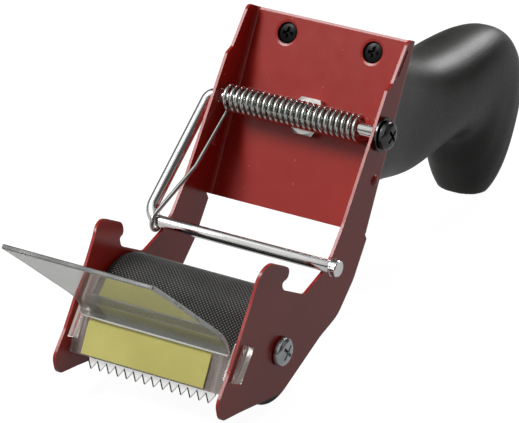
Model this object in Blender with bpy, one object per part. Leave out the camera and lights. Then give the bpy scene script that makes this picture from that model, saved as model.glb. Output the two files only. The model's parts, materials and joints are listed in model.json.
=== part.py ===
"""Hand tape dispenser: a folded sheet frame on a pistol grip, with a sprung wire
bail for the tape roll, a knurled rubber roller, a serrated blade and a clear flap.

Places are written as (x, out, up): x across the frame from its middle, out in
front of the web's inner face, up above the web's lower edge. The root empty
leans that frame back until roller and pommel stand on the floor.
"""
import math

import bmesh
import bpy
import numpy as np
from mathutils import Vector

# Folded frame
SHEET = 0.001
INSIDE_WIDTH = 0.058
BEND_INSIDE = 0.0015
WEB_HEIGHT = 0.0626
NOSE_DEPTH = 0.0654
REST_LEAN = math.radians(28)
NOSE_MARGIN = 0.0067
EASY_ROUND = 0.012
HEEL_ROUND = 0.009
TIP_ROUND = 0.004
THUMB_ROUND = 0.0055
SMALL_ROUND = 0.0015
CORNER_ROUND = 0.003

# Clearances
SEAT_GAP = 0.0003
CUT_OVERRUN = 0.002
JOIN_OVERLAP = 0.0004

# Rubber roller
ROLLER_RADIUS = 0.018
ROLLER_DROP = 0.0411
ROLLER_OUT = 0.0379
ROLLER_SIDE_GAP = 0.0008
ROLLER_EDGE = 0.0006
SLEEVE_WALL = 0.004
CORE_WALL = 0.0025
BUSH_LENGTH = 0.007
AXLE_RADIUS = 0.003

# Screws
SCREW_RADIUS = 0.0015
SCREW_HEAD_RADIUS = 0.00465
SCREW_HEAD_HEIGHT = 0.0026
SCREW_DEPTH = 0.006
CROSS_DEPTH = 0.0013
CROSS_WIDTH = 0.001
WASHER_RADIUS = 0.0056
WASHER_THICKNESS = 0.0008

# Wire bail and its spring
WIRE_RADIUS = 0.002
BAIL_SPLAY = 0.0023
SHAFT_BEND = 0.0028
BAR_BEND = 0.0055
BAR_OVERHANG = 0.0048
PIVOT_SCREW_RADIUS = 0.001
CAP_WALL = 0.0004
CAP_LENGTH = 0.0028
CAP_FLOOR = 0.0008
SPRING_WIRE_RADIUS = 0.00075
COIL_CLEARANCE = 0.0011
COIL_PITCH = 0.00206
COIL_CURLS = 22
COIL_SET_IN = 0.00125
COIL_END_APART = math.radians(40)
HOOK_TURN = math.radians(215)

# Grip and its fasteners
GRIP_LENGTH = 0.126
GRIP_WIDTH = 0.039
BOLT_FLATS = 0.012
BOLT_HEAD_HEIGHT = 0.00295
BOLT_RADIUS = 0.004
BOLT_LENGTH = 0.026
INSERT_WALL = 0.0022
INSERT_LENGTH = 0.018
PILOT_MARGIN = 0.003
GRIP_SCREW_HEAD_RADIUS = 0.0033
GRIP_SCREW_HEAD_HEIGHT = 0.0014
GRIP_SCREW_RADIUS = 0.0016
GRIP_SCREW_LENGTH = 0.0095
GRIP_SCREW_SPREAD = 0.0316
GRIP_SCREW_SINK = 0.001

# Blade, clear holder, label and flap
BLADE_RUNNING_GAP = 0.0021
BLADE_THICKNESS = 0.0008
BLADE_END_GAP = 0.0038
BLADE_HEIGHT = 0.0131
TOOTH_HEIGHT = 0.0027
TOOTH_PITCH = 0.0032
STUD_RADIUS = 0.0013
HOLDER_WALL = 0.0025
HOLDER_HEIGHT = 0.0125
HOLDER_DROP = 0.0452
TAB_HEIGHT = 0.0115
TAB_RISE = 0.0037
TAB_STAND = 0.0011
TAB_SLANT = 0.0022
END_BLOCK = 0.0019
BLOCK_BACK = 0.0021
LABEL_WIDTH = 0.0445
LABEL_HEIGHT = 0.0111
LABEL_THICKNESS = 0.0003
LABEL_SHIFT = 0.0019
LABEL_DROP = 0.001
FLAP_WIDTH = 0.053
FLAP_LENGTH = 0.0572
FLAP_THICKNESS = 0.0015

# Facets round a turned piece
FINE_SIDES = 48
ROUND_SIDES = 24
WIRE_SIDES = 12
CURL_POINTS = 10
ARC_STEPS = 5

# Heights as shares of the web's height, each with the place out from the web
# as a share of the plates' reach
UPPER_EDGE_SHARES = (
    (0.016, 0.249, EASY_ROUND),
    (0.511, 0.186, EASY_ROUND),
    (0.719, 0.161, SMALL_ROUND),
    (0.759, 0.126, SMALL_ROUND),
    (1.000, 0.073, CORNER_ROUND),
)
# Drops as shares of the nose's depth, from the web's foot down the back edge,
# along the sole to the tip, up the front and round the thumb into the notch
LOWER_EDGE_SHARES = (
    (0.023, -0.009, 0),
    (0.228, 0.019, EASY_ROUND),
    (0.414, 0.086, EASY_ROUND),
    (0.530, 0.205, EASY_ROUND),
    (0.824, 0.436, HEEL_ROUND),
    (0.943, 0.785, EASY_ROUND),
    (1.000, 0.937, TIP_ROUND),
    (0.925, 1.000, TIP_ROUND),
    (0.780, 0.968, EASY_ROUND),
    (0.443, 0.930, EASY_ROUND),
    (0.234, 0.915, THUMB_ROUND),
    (0.234, 0.676, CORNER_ROUND),
    (0.290, 0.672, SMALL_ROUND),
    (0.305, 0.698, SMALL_ROUND),
    (0.347, 0.694, CORNER_ROUND),
    (0.347, 0.455, CORNER_ROUND),
    (0.229, 0.337, CORNER_ROUND),
    (0.153, 0.290, EASY_ROUND),
)
# How far down the ledge, which those last two rows draw, the crossbar rests
LEDGE_REST_SHARE = 0.75
PIVOT_UP_SHARE = 0.503
# How far down the spring's leg stays inside the plate before it crosses over
LEG_INSIDE_SHARE = 0.55
# Grip sections: place along the grip, lowest and highest side and width as
# shares of the grip's length, height and width, and how square each one is
GRIP_SECTION_SHARES = (
    (0.000, 0.250, 1.300, 1.10, 7.0),
    (0.090, 0.255, 1.280, 1.08, 6.5),
    (0.170, 0.290, 1.240, 0.98, 4.5),
    (0.300, 0.350, 1.240, 0.88, 2.9),
    (0.450, 0.450, 1.290, 0.84, 2.5),
    (0.580, 0.640, 1.410, 0.82, 2.4),
    (0.690, 0.790, 1.550, 0.80, 2.4),
    (0.780, 0.800, 1.655, 0.78, 2.4),
    (0.860, 0.600, 1.710, 0.78, 2.4),
    (0.930, 0.440, 1.690, 0.77, 2.4),
    (0.980, 0.420, 1.590, 0.68, 2.4),
    (1.000, 0.520, 1.440, 0.44, 2.4),
)
GRIP_HEIGHT_SHARE = 0.751
GRIP_SCREW_UP_SHARE = 0.899
# A screw head's dome: rise and radius as shares of its height and radius
PAN_HEAD_SHARES = (
    (0.00, 1.00),
    (0.45, 0.98),
    (0.75, 0.86),
    (0.93, 0.62),
    (1.00, 0.30),
)
CROSS_ARM_SHARE = 0.6
# The flap's bowed middle line from its root: out and up as shares of its length
FLAP_LINE_SHARES = (
    (0.000, 0.000),
    (0.038, 0.037),
    (0.093, 0.073),
    (0.157, 0.096),
    (0.262, 0.121),
    (0.385, 0.147),
    (0.675, 0.210),
    (0.963, 0.270),
)

# Fits and places that follow from the sizes above
PLATE_IN = INSIDE_WIDTH / 2
PLATE_OUT = PLATE_IN + SHEET
COIL_RADIUS = WIRE_RADIUS + COIL_CLEARANCE + SPRING_WIRE_RADIUS
PIVOT_OUT = SEAT_GAP + BOLT_HEAD_HEIGHT + SEAT_GAP + COIL_RADIUS + SPRING_WIRE_RADIUS
PIVOT_UP = WEB_HEIGHT * PIVOT_UP_SHARE
GRIP_HEIGHT = WEB_HEIGHT * GRIP_HEIGHT_SHARE
BLADE_WIDTH = INSIDE_WIDTH - 2 * (SEAT_GAP + END_BLOCK + BLADE_END_GAP)
BLADE_OUT = ROLLER_OUT + ROLLER_RADIUS + BLADE_RUNNING_GAP
HOLDER_OUT = BLADE_OUT + BLADE_THICKNESS + SEAT_GAP
HOLDER_FRONT = HOLDER_OUT + HOLDER_WALL
PLATE_REACH = HOLDER_FRONT + NOSE_MARGIN
TAB_TOP = TAB_RISE - HOLDER_DROP
FLAP_OUT = HOLDER_FRONT + SEAT_GAP + FLAP_THICKNESS / 2
FLAP_UP = -HOLDER_DROP
AXLE_HALF = PLATE_IN - SEAT_GAP
CORE_OUTER = ROLLER_RADIUS - SLEEVE_WALL - SEAT_GAP
BUSH_OUTER = CORE_OUTER - CORE_WALL - SEAT_GAP
ROLLER_HALF = PLATE_IN - ROLLER_SIDE_GAP
FLOOR_LEVEL = (
    ROLLER_OUT * math.sin(REST_LEAN)
    - ROLLER_DROP * math.cos(REST_LEAN)
    - ROLLER_RADIUS
)


def spot(x, out, up):
    """A place in the frame's own directions."""
    return Vector((x, -out, up))


def material(name, colour, roughness, metallic=0.0, alpha=1.0):
    """A Principled material of one colour."""
    made = bpy.data.materials.new(name)
    made.use_nodes = True
    shader = made.node_tree.nodes["Principled BSDF"]
    shader.inputs["Base Color"].default_value = (*colour, 1.0)
    shader.inputs["Roughness"].default_value = roughness
    shader.inputs["Metallic"].default_value = metallic
    shader.inputs["Alpha"].default_value = alpha
    return made


def empty(name, parent, place):
    """A plain empty, the carrier of what turns about it."""
    made = bpy.data.objects.new(name, None)
    bpy.context.collection.objects.link(made)
    made.parent = parent
    made.location = place
    return made


def finish(name, mesh, parent, skin, sharp=30):
    """Puts a mesh in the scene under its carrier, seen from its carrier's place."""
    made = bpy.data.objects.new(name, mesh)
    bpy.context.collection.objects.link(made)
    made.parent = parent
    mesh.shade_smooth()
    mesh.set_sharp_from_angle(angle=math.radians(sharp))
    if skin:
        mesh.materials.append(skin)
    return made


def skinned(name, rings, parent, skin, looped=False, sharp=30):
    """A closed body over rings of equal count, capped at both ends or looped."""
    bm = bmesh.new()
    shift = parent.location if parent and parent.parent else Vector()
    rows = [[bm.verts.new(p - shift) for p in ring] for ring in rings]
    pairs = list(zip(rows, rows[1:]))
    if looped:
        pairs.append((rows[-1], rows[0]))
    for first, second in pairs:
        for i in range(len(first)):
            j = (i + 1) % len(first)
            bm.faces.new((first[i], first[j], second[j], second[i]))
    if not looped:
        bm.faces.new(rows[0])
        bm.faces.new(list(reversed(rows[-1])))
    bmesh.ops.recalc_face_normals(bm, faces=bm.faces)
    mesh = bpy.data.meshes.new(name)
    bm.to_mesh(mesh)
    bm.free()
    return finish(name, mesh, parent, skin, sharp)


def ring_x(x, out, up, radius, sides):
    """Points round a line that runs across the frame."""
    turns = [2 * math.pi * i / sides for i in range(sides)]
    return [spot(x, out + radius * math.cos(t), up + radius * math.sin(t)) for t in turns]


def turned_x(name, profile, out, up, parent, skin, sides=ROUND_SIDES, looped=False):
    """A body turned round a line across the frame, from (x, radius) points."""
    rings = [ring_x(x, out, up, radius, sides) for x, radius in profile]
    return skinned(name, rings, parent, skin, looped)


def turned_out(name, profile, x, up, parent, skin, sides=ROUND_SIDES, looped=False):
    """A body turned round a line square to the web, from (out, radius) points."""
    turns = [2 * math.pi * i / sides for i in range(sides)]
    rings = [
        [spot(x + r * math.cos(t), out, up + r * math.sin(t)) for t in turns]
        for out, r in profile
    ]
    return skinned(name, rings, parent, skin, looped)


def block(name, low, high, parent, skin=None, slant=0):
    """A box between two (x, out, up) corners, whose foot may lie further out."""
    rings = [
        [
            spot(x, low[1] + slant, low[2]),
            spot(x, high[1] + slant, low[2]),
            spot(x, high[1], high[2]),
            spot(x, low[1], high[2]),
        ]
        for x in (low[0], high[0])
    ]
    return skinned(name, rings, parent, skin)


def carve(target, cutter, operation="DIFFERENCE"):
    """Cuts one object by another, or joins them, and hides the second."""
    step = target.modifiers.new(cutter.name, "BOOLEAN")
    step.operation = operation
    step.solver = "EXACT"
    step.object = cutter
    cutter.hide_render = True
    cutter.display_type = "WIRE"


def rounded(points, closed=False):
    """Turns (point, radius) corners into a chain with arcs at the corners."""
    chain = []
    count = len(points)
    for i, (corner, radius) in enumerate(points):
        inner = closed or 0 < i < count - 1
        if not radius or not inner:
            chain.append(corner)
            continue
        back = (points[i - 1][0] - corner).normalized()
        ahead = (points[(i + 1) % count][0] - corner).normalized()
        half = back.angle(ahead) / 2
        middle = corner + (back + ahead).normalized() * (radius / math.sin(half))
        start = corner + back * (radius / math.tan(half)) - middle
        end = corner + ahead * (radius / math.tan(half)) - middle
        sweep = start.angle(end)
        for step in range(ARC_STEPS + 1):
            share = step / ARC_STEPS
            part = start * math.sin((1 - share) * sweep) + end * math.sin(share * sweep)
            chain.append(middle + part / math.sin(sweep))
    return chain


def wire_curve(name, points, radius, resolution, parent, skin):
    """A round wire with closed ends along a chain of points."""
    curve = bpy.data.curves.new(name, "CURVE")
    curve.dimensions = "3D"
    curve.bevel_depth = radius
    curve.bevel_resolution = resolution
    curve.use_fill_caps = True
    shift = parent.location if parent.parent else Vector()
    spline = curve.splines.new("POLY")
    spline.points.add(len(points) - 1)
    for place, point in zip(points, spline.points):
        point.co = (*(place - shift), 1.0)
    made = bpy.data.objects.new(name, curve)
    bpy.context.collection.objects.link(made)
    made.parent = parent
    curve.materials.append(skin)
    return made


def wire_mesh(name, points, radius, resolution, parent, skin):
    """The same wire as a mesh, which a bore can be cut in."""
    drawn = wire_curve(name + "_line", points, radius, resolution, parent, skin)
    bpy.context.view_layer.update()
    mesh = bpy.data.meshes.new_from_object(drawn.evaluated_get(bpy.context.evaluated_depsgraph_get()))
    mesh.name = name
    bpy.data.objects.remove(drawn)
    return finish(name, mesh, parent, None, 40)


def least_gap(points, radius, apart):
    """The least gap between turns of one wire, measured between its points."""
    rows = np.array([p[:] for p in points])
    far = np.linalg.norm(rows[:, None] - rows[None], axis=2)
    order = np.arange(len(rows))
    far[np.abs(order[:, None] - order[None]) < apart] = np.inf
    return float(far.min()) - 2 * radius


def plate_edge(side):
    """The free edge of one side plate, from the web's foot to its top."""
    x = side * PLATE_IN
    corners = [(spot(x, BEND_INSIDE, 0), 0)]
    for drop_share, out_share, radius in LOWER_EDGE_SHARES:
        corners.append((spot(x, PLATE_REACH * out_share, -NOSE_DEPTH * drop_share), radius))
    for up_share, out_share, radius in UPPER_EDGE_SHARES:
        corners.append((spot(x, PLATE_REACH * out_share, WEB_HEIGHT * up_share), radius))
    corners.append((spot(x, BEND_INSIDE, WEB_HEIGHT), 0))
    return rounded(corners)


def folded_frame(root, skin):
    """The sheet's inner face, folded into web and plates, then thickened outwards."""
    bm = bmesh.new()
    fold = []
    for side in (-1, 1):
        quarter = []
        for step in range(ARC_STEPS + 1):
            turn = math.pi / 2 * step / ARC_STEPS
            across = PLATE_IN - BEND_INSIDE * (1 - math.cos(turn))
            quarter.append((side * across, BEND_INSIDE * (1 - math.sin(turn))))
        fold.extend(quarter if side < 0 else reversed(quarter))
    foot = [bm.verts.new(spot(x, out, 0)) for x, out in fold]
    head = [bm.verts.new(spot(x, out, WEB_HEIGHT)) for x, out in fold]
    for i in range(len(fold) - 1):
        bm.faces.new((foot[i], foot[i + 1], head[i + 1], head[i]))
    for side, end in ((-1, 0), (1, -1)):
        between = [bm.verts.new(p) for p in plate_edge(side)[1:-1]]
        bm.faces.new([foot[end], *between, head[end]])
    bmesh.ops.recalc_face_normals(bm, faces=bm.faces)
    bm.faces.ensure_lookup_table()
    web = bm.faces[ARC_STEPS]
    if web.normal.y > 0:
        bmesh.ops.reverse_faces(bm, faces=bm.faces)
    mesh = bpy.data.meshes.new("folded_frame")
    bm.to_mesh(mesh)
    bm.free()
    frame = finish("folded_frame", mesh, root, skin)
    thicken = frame.modifiers.new("sheet", "SOLIDIFY")
    thicken.thickness = SHEET
    thicken.offset = -1
    thicken.use_even_offset = True
    for side, name in ((-1, "left"), (1, "right")):
        near = side * (PLATE_IN - CUT_OVERRUN)
        far = side * (PLATE_OUT + CUT_OVERRUN)
        holes = (
            ("pivot", PIVOT_OUT, PIVOT_UP, WIRE_RADIUS + SEAT_GAP),
            ("axle", ROLLER_OUT, -ROLLER_DROP, SCREW_RADIUS + SEAT_GAP),
        )
        for label, out, up, radius in holes:
            cutter_name = f"{label}_hole_{name}"
            profile = ((near, radius), (far, radius))
            carve(frame, turned_x(cutter_name, profile, out, up, root, None))
        low = (near, HOLDER_OUT - BLOCK_BACK - SEAT_GAP, TAB_TOP - TAB_HEIGHT - SEAT_GAP)
        high = (far, HOLDER_FRONT + SEAT_GAP, TAB_TOP + SEAT_GAP)
        carve(frame, block(f"tab_slot_{name}", low, high, root, slant=TAB_SLANT))
        screw_hole = GRIP_SCREW_HEAD_RADIUS + SEAT_GAP
        profile = ((CUT_OVERRUN, screw_hole), (-SHEET - CUT_OVERRUN, screw_hole))
        x = side * GRIP_SCREW_SPREAD / 2
        up = WEB_HEIGHT * GRIP_SCREW_UP_SHARE
        carve(frame, turned_out(f"screw_hole_{name}", profile, x, up, root, None))
    bolt_hole = BOLT_RADIUS + SEAT_GAP
    profile = ((CUT_OVERRUN, bolt_hole), (-SHEET - CUT_OVERRUN, bolt_hole))
    carve(frame, turned_out("bolt_hole", profile, 0, PIVOT_UP, root, None))
    return frame


def grip_ring(along, low, high, width, square):
    """One section of the grip: a rounded box of ROUND_SIDES points."""
    ring = []
    middle = (low + high) / 2
    for i in range(ROUND_SIDES):
        turn = 2 * math.pi * (i + 0.5) / ROUND_SIDES
        c, s = math.cos(turn), math.sin(turn)
        reach = (abs(c) ** square + abs(s) ** square) ** (-1 / square)
        ring.append(
            spot(c * reach * width / 2, -along, middle + s * reach * (high - low) / 2)
        )
    return ring


def handle(root, black, brass, steel, dark):
    """The moulded grip with its insert, bolt and two sunk screws."""
    face = SHEET + SEAT_GAP
    rings = [
        grip_ring(
            face + GRIP_LENGTH * along,
            GRIP_HEIGHT * low,
            GRIP_HEIGHT * high,
            GRIP_WIDTH * width,
            square,
        )
        for along, low, high, width, square in GRIP_SECTION_SHARES
    ]
    grip = skinned("handle_grip", rings, root, black, sharp=50)
    insert_radius = BOLT_RADIUS + SEAT_GAP + INSERT_WALL
    bore = insert_radius + SEAT_GAP
    depth = BOLT_LENGTH + PILOT_MARGIN
    profile = ((-face + CUT_OVERRUN, bore), (-face - depth, bore))
    carve(grip, turned_out("insert_bore", profile, 0, PIVOT_UP, root, None))
    # The pommel is cut level with the roller's lowest line
    reach = GRIP_LENGTH + GRIP_HEIGHT
    level = block(
        "floor_cut",
        (-GRIP_WIDTH, -2 * reach, FLOOR_LEVEL - reach),
        (GRIP_WIDTH, 0, FLOOR_LEVEL),
        root,
    )
    level.rotation_euler.x = REST_LEAN
    carve(grip, level)
    profile = (
        (-face, insert_radius),
        (-face - INSERT_LENGTH, insert_radius),
        (-face - INSERT_LENGTH, BOLT_RADIUS + SEAT_GAP),
        (-face, BOLT_RADIUS + SEAT_GAP),
    )
    turned_out("handle_insert", profile, 0, PIVOT_UP, root, brass, looped=True)

    def bolt_ring(out, flats, radius):
        ring = []
        for i in range(ROUND_SIDES):
            turn = 2 * math.pi * i / ROUND_SIDES
            facet = turn % (math.pi / 3) - math.pi / 6
            r = flats / 2 / math.cos(facet) if flats else radius
            ring.append(spot(r * math.cos(turn), out, PIVOT_UP + r * math.sin(turn)))
        return ring

    head = SEAT_GAP + BOLT_HEAD_HEIGHT
    rings = [
        bolt_ring(head, 0, BOLT_FLATS / 2 - SEAT_GAP),
        bolt_ring(head - SEAT_GAP, BOLT_FLATS, 0),
        bolt_ring(SEAT_GAP, BOLT_FLATS, 0),
        bolt_ring(SEAT_GAP, 0, BOLT_RADIUS),
        bolt_ring(SEAT_GAP - BOLT_LENGTH, 0, BOLT_RADIUS),
    ]
    skinned("handle_bolt", rings, root, steel)
    for side, name in ((-1, "left"), (1, "right")):
        x = side * GRIP_SCREW_SPREAD / 2
        up = WEB_HEIGHT * GRIP_SCREW_UP_SHARE
        shank = GRIP_SCREW_RADIUS + SEAT_GAP
        tip = face + GRIP_SCREW_LENGTH
        profile = ((-face + CUT_OVERRUN, shank), (-tip - SEAT_GAP, shank))
        carve(grip, turned_out(f"pilot_{name}", profile, x, up, root, None))
        sunk = GRIP_SCREW_HEAD_RADIUS + SEAT_GAP
        profile = ((-face + CUT_OVERRUN, sunk), (-face - GRIP_SCREW_SINK, sunk))
        carve(grip, turned_out(f"counterbore_{name}", profile, x, up, root, None))
        under = -SHEET - GRIP_SCREW_SINK
        profile = (
            (under + GRIP_SCREW_HEAD_HEIGHT, GRIP_SCREW_HEAD_RADIUS - SEAT_GAP),
            (under + GRIP_SCREW_HEAD_HEIGHT - SEAT_GAP, GRIP_SCREW_HEAD_RADIUS),
            (under, GRIP_SCREW_HEAD_RADIUS),
            (under, GRIP_SCREW_RADIUS),
            (-tip, GRIP_SCREW_RADIUS),
        )
        screw = turned_out(f"handle_screw_{name}", profile, x, up, root, dark)
        top = under + GRIP_SCREW_HEAD_HEIGHT
        cross_recess(screw, "out", (x, top, up), GRIP_SCREW_HEAD_RADIUS, root, CROSS_DEPTH / 2)


def cross_recess(screw, axis, place, head_radius, parent, depth):
    """A cross-shaped socket cut in a screw's head."""
    x, out, up = place
    arm = head_radius * CROSS_ARM_SHARE
    thin = CROSS_WIDTH / 2
    for index, (long_way, short_way) in enumerate(((arm, thin), (thin, arm))):
        if axis == "out":
            low = (x - long_way, out - depth, up - short_way)
            high = (x + long_way, out + CUT_OVERRUN, up + short_way)
        else:
            side = math.copysign(1, x)
            near, far = x - side * depth, x + side * CUT_OVERRUN
            low = (near, out - long_way, up - short_way)
            high = (far, out + long_way, up + short_way)
        carve(screw, block(f"{screw.name}_cross_{index}", low, high, parent))


def pan_screw(name, side, seat, shank_radius, depth, out, up, parent, skin):
    """A cross-head pan screw whose head seats at x = seat on one side."""
    profile = [(side * (seat - depth), shank_radius), (side * seat, shank_radius)]
    for rise, radius in PAN_HEAD_SHARES:
        profile.append((side * (seat + SCREW_HEAD_HEIGHT * rise), SCREW_HEAD_RADIUS * radius))
    screw = turned_x(name, profile, out, up, parent, skin)
    place = (side * (seat + SCREW_HEAD_HEIGHT), out, up)
    cross_recess(screw, "x", place, SCREW_HEAD_RADIUS, parent, CROSS_DEPTH)


def bar_place():
    """The crossbar's place at rest: on the ledge of the plates' front edge."""
    *_, foot, top = LOWER_EDGE_SHARES
    top = Vector((PLATE_REACH * top[1], -NOSE_DEPTH * top[0]))
    foot = Vector((PLATE_REACH * foot[1], -NOSE_DEPTH * foot[0]))
    along = (top - foot).normalized()
    away = Vector((along.y, -along.x))
    return top.lerp(foot, LEDGE_REST_SHARE) + away * (WIRE_RADIUS + SEAT_GAP)


def bail(pivot, bright, dark):
    """The bent wire, its end cap, the pivot's screw and washer."""
    bar_out, bar_up = bar_place()
    shaft_end = PLATE_OUT + SEAT_GAP
    arm_top = PLATE_OUT + SEAT_GAP + SHAFT_BEND
    arm_foot = arm_top + BAIL_SPLAY
    bar_end = PLATE_OUT + BAR_OVERHANG
    corners = [
        (spot(shaft_end, PIVOT_OUT, PIVOT_UP), 0),
        (spot(-arm_top, PIVOT_OUT, PIVOT_UP), SHAFT_BEND),
        (spot(-arm_foot, bar_out, bar_up), BAR_BEND),
        (spot(bar_end, bar_out, bar_up), 0),
    ]
    wire = wire_mesh("bail_wire", rounded(corners), WIRE_RADIUS, 4, pivot, bright)
    bore = PIVOT_SCREW_RADIUS + SEAT_GAP
    profile = ((shaft_end + CUT_OVERRUN, bore), (shaft_end - SCREW_DEPTH, bore))
    carve(wire, turned_x("shaft_bore", profile, PIVOT_OUT, PIVOT_UP, pivot, None))
    inside = WIRE_RADIUS + SEAT_GAP
    outside = inside + CAP_WALL
    floor = bar_end + SEAT_GAP
    mouth = floor + CAP_FLOOR - CAP_LENGTH
    profile = (
        (floor, inside),
        (mouth, inside),
        (mouth, outside),
        (floor + CAP_FLOOR - SEAT_GAP, outside),
        (floor + CAP_FLOOR, outside - SEAT_GAP),
    )
    turned_x("bail_end_cap", profile, bar_out, bar_up, pivot, bright)
    washer_in = shaft_end + SEAT_GAP
    washer_out = washer_in + WASHER_THICKNESS
    profile = (
        (washer_in, bore),
        (washer_in, WASHER_RADIUS),
        (washer_out, WASHER_RADIUS),
        (washer_out, bore),
    )
    turned_x("pivot_washer", profile, PIVOT_OUT, PIVOT_UP, pivot, dark, looped=True)
    seat = washer_out + SEAT_GAP
    depth = seat - shaft_end + SCREW_DEPTH - SEAT_GAP
    pan_screw(
        "pivot_screw", 1, seat, PIVOT_SCREW_RADIUS, depth, PIVOT_OUT, PIVOT_UP, pivot, dark
    )


def coil_point(x, turn):
    """A point of the spring's wire at a turn about the shaft, zero towards the front."""
    out = PIVOT_OUT + COIL_RADIUS * math.cos(turn)
    return spot(x, out, PIVOT_UP + COIL_RADIUS * math.sin(turn))


def springs(pivot, root, bright):
    """The long coil, anchored on the web, and the leg that moves with the bail."""
    bar_out, bar_up = bar_place()
    hook_radius = WIRE_RADIUS + SEAT_GAP + SPRING_WIRE_RADIUS
    hub = Vector((PIVOT_OUT, PIVOT_UP))
    bar = Vector((bar_out, bar_up))
    span = (bar - hub).length
    down = (bar - hub).normalized()
    front = Vector((-down.y, down.x))
    tilt = math.asin((COIL_RADIUS + hook_radius) / span)
    normal = front * math.cos(tilt) - down * math.sin(tilt)
    arrive = math.atan2(normal.y, normal.x)
    leave = arrive + math.pi

    # The coil's left end stops a little short of where the leg's curl begins,
    # and its right end leaves its lowest point straight for the web
    first_x = -PLATE_IN + COIL_SET_IN + SEAT_GAP + SPRING_WIRE_RADIUS + COIL_PITCH
    left = first_x + SEAT_GAP + COIL_PITCH * COIL_END_APART / (2 * math.pi)
    last_turn = -math.pi / 2
    part_turn = (leave - COIL_END_APART - last_turn) % (2 * math.pi)
    wound = 2 * math.pi * COIL_CURLS + part_turn
    count = round(CURL_POINTS * wound / (2 * math.pi))
    points = []
    for i in range(count + 1):
        turned = wound * i / count
        points.append(coil_point(left + COIL_PITCH * turned / (2 * math.pi), last_turn + wound - turned))
    lead = spot(0, -2 * SPRING_WIRE_RADIUS, 0)
    tail = points[-1].copy()
    tail.y = -SEAT_GAP
    points.extend([points[-1] + lead, tail])
    print(f"torsion_spring gap to itself {least_gap(points, SPRING_WIRE_RADIUS, CURL_POINTS // 2):.5f} m")
    wire_curve("torsion_spring", points, SPRING_WIRE_RADIUS, 1, root, bright)

    # The leg: one curl beside the coil, then off its back, over the bar and round it
    hook_x = -PLATE_OUT - 2 * SEAT_GAP - SPRING_WIRE_RADIUS
    step = COIL_PITCH / CURL_POINTS
    leg = []
    for i in range(CURL_POINTS + 1):
        turn = leave - 2 * math.pi * (CURL_POINTS - i) / CURL_POINTS
        leg.append(coil_point(first_x - i * step, turn))
    over_bar = bar + normal * hook_radius
    crossing = (hub - normal * COIL_RADIUS).lerp(over_bar, LEG_INSIDE_SHARE)
    leg.append(spot(leg[-1].x, *crossing))
    for i in range(CURL_POINTS + 1):
        turn = arrive - HOOK_TURN * i / CURL_POINTS
        out = bar_out + hook_radius * math.cos(turn)
        up = bar_up + hook_radius * math.sin(turn)
        leg.append(spot(hook_x, out, up))
    print(f"spring_leg gap to itself {least_gap(leg, SPRING_WIRE_RADIUS, CURL_POINTS // 2):.5f} m")
    wire_curve("spring_leg", leg, SPRING_WIRE_RADIUS, 1, pivot, bright)


def roller(pivot, root, rubber, plastic, steel, dark):
    """The rubber sleeve on its core and bushes, the axle and its two screws."""
    outer = ROLLER_RADIUS
    inner = ROLLER_RADIUS - SLEEVE_WALL
    place = (ROLLER_OUT, -ROLLER_DROP)
    profile = (
        (-ROLLER_HALF, inner),
        (-ROLLER_HALF, outer - ROLLER_EDGE),
        (-ROLLER_HALF + ROLLER_EDGE, outer),
        (ROLLER_HALF - ROLLER_EDGE, outer),
        (ROLLER_HALF, outer - ROLLER_EDGE),
        (ROLLER_HALF, inner),
    )
    turned_x("roller_sleeve", profile, *place, pivot, rubber, FINE_SIDES, looped=True)
    core_half = ROLLER_HALF - SEAT_GAP
    core_inner = CORE_OUTER - CORE_WALL
    profile = (
        (-core_half, core_inner),
        (-core_half, CORE_OUTER),
        (core_half, CORE_OUTER),
        (core_half, core_inner),
    )
    turned_x("roller_core", profile, *place, pivot, plastic, FINE_SIDES, looped=True)
    axle_bore = AXLE_RADIUS + SEAT_GAP
    for side, name in ((-1, "left"), (1, "right")):
        near = side * (core_half - BUSH_LENGTH)
        far = side * core_half
        profile = ((near, axle_bore), (near, BUSH_OUTER), (far, BUSH_OUTER), (far, axle_bore))
        turned_x(f"roller_bush_{name}", profile, *place, pivot, plastic, looped=True)
    profile = ((-AXLE_HALF, AXLE_RADIUS), (AXLE_HALF, AXLE_RADIUS))
    axle = turned_x("roller_axle", profile, *place, root, steel)
    bore = SCREW_RADIUS + SEAT_GAP
    for side, name in ((-1, "left"), (1, "right")):
        depth = side * (AXLE_HALF - SCREW_DEPTH - SEAT_GAP)
        profile = ((depth, bore), (side * (AXLE_HALF + CUT_OVERRUN), bore))
        carve(axle, turned_x(f"axle_bore_{name}", profile, *place, root, None))
        seat = PLATE_OUT + SEAT_GAP
        length = seat - AXLE_HALF + SCREW_DEPTH
        pan_screw(
            f"axle_screw_{name}", side, seat, SCREW_RADIUS, length, *place, root, dark
        )


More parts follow.
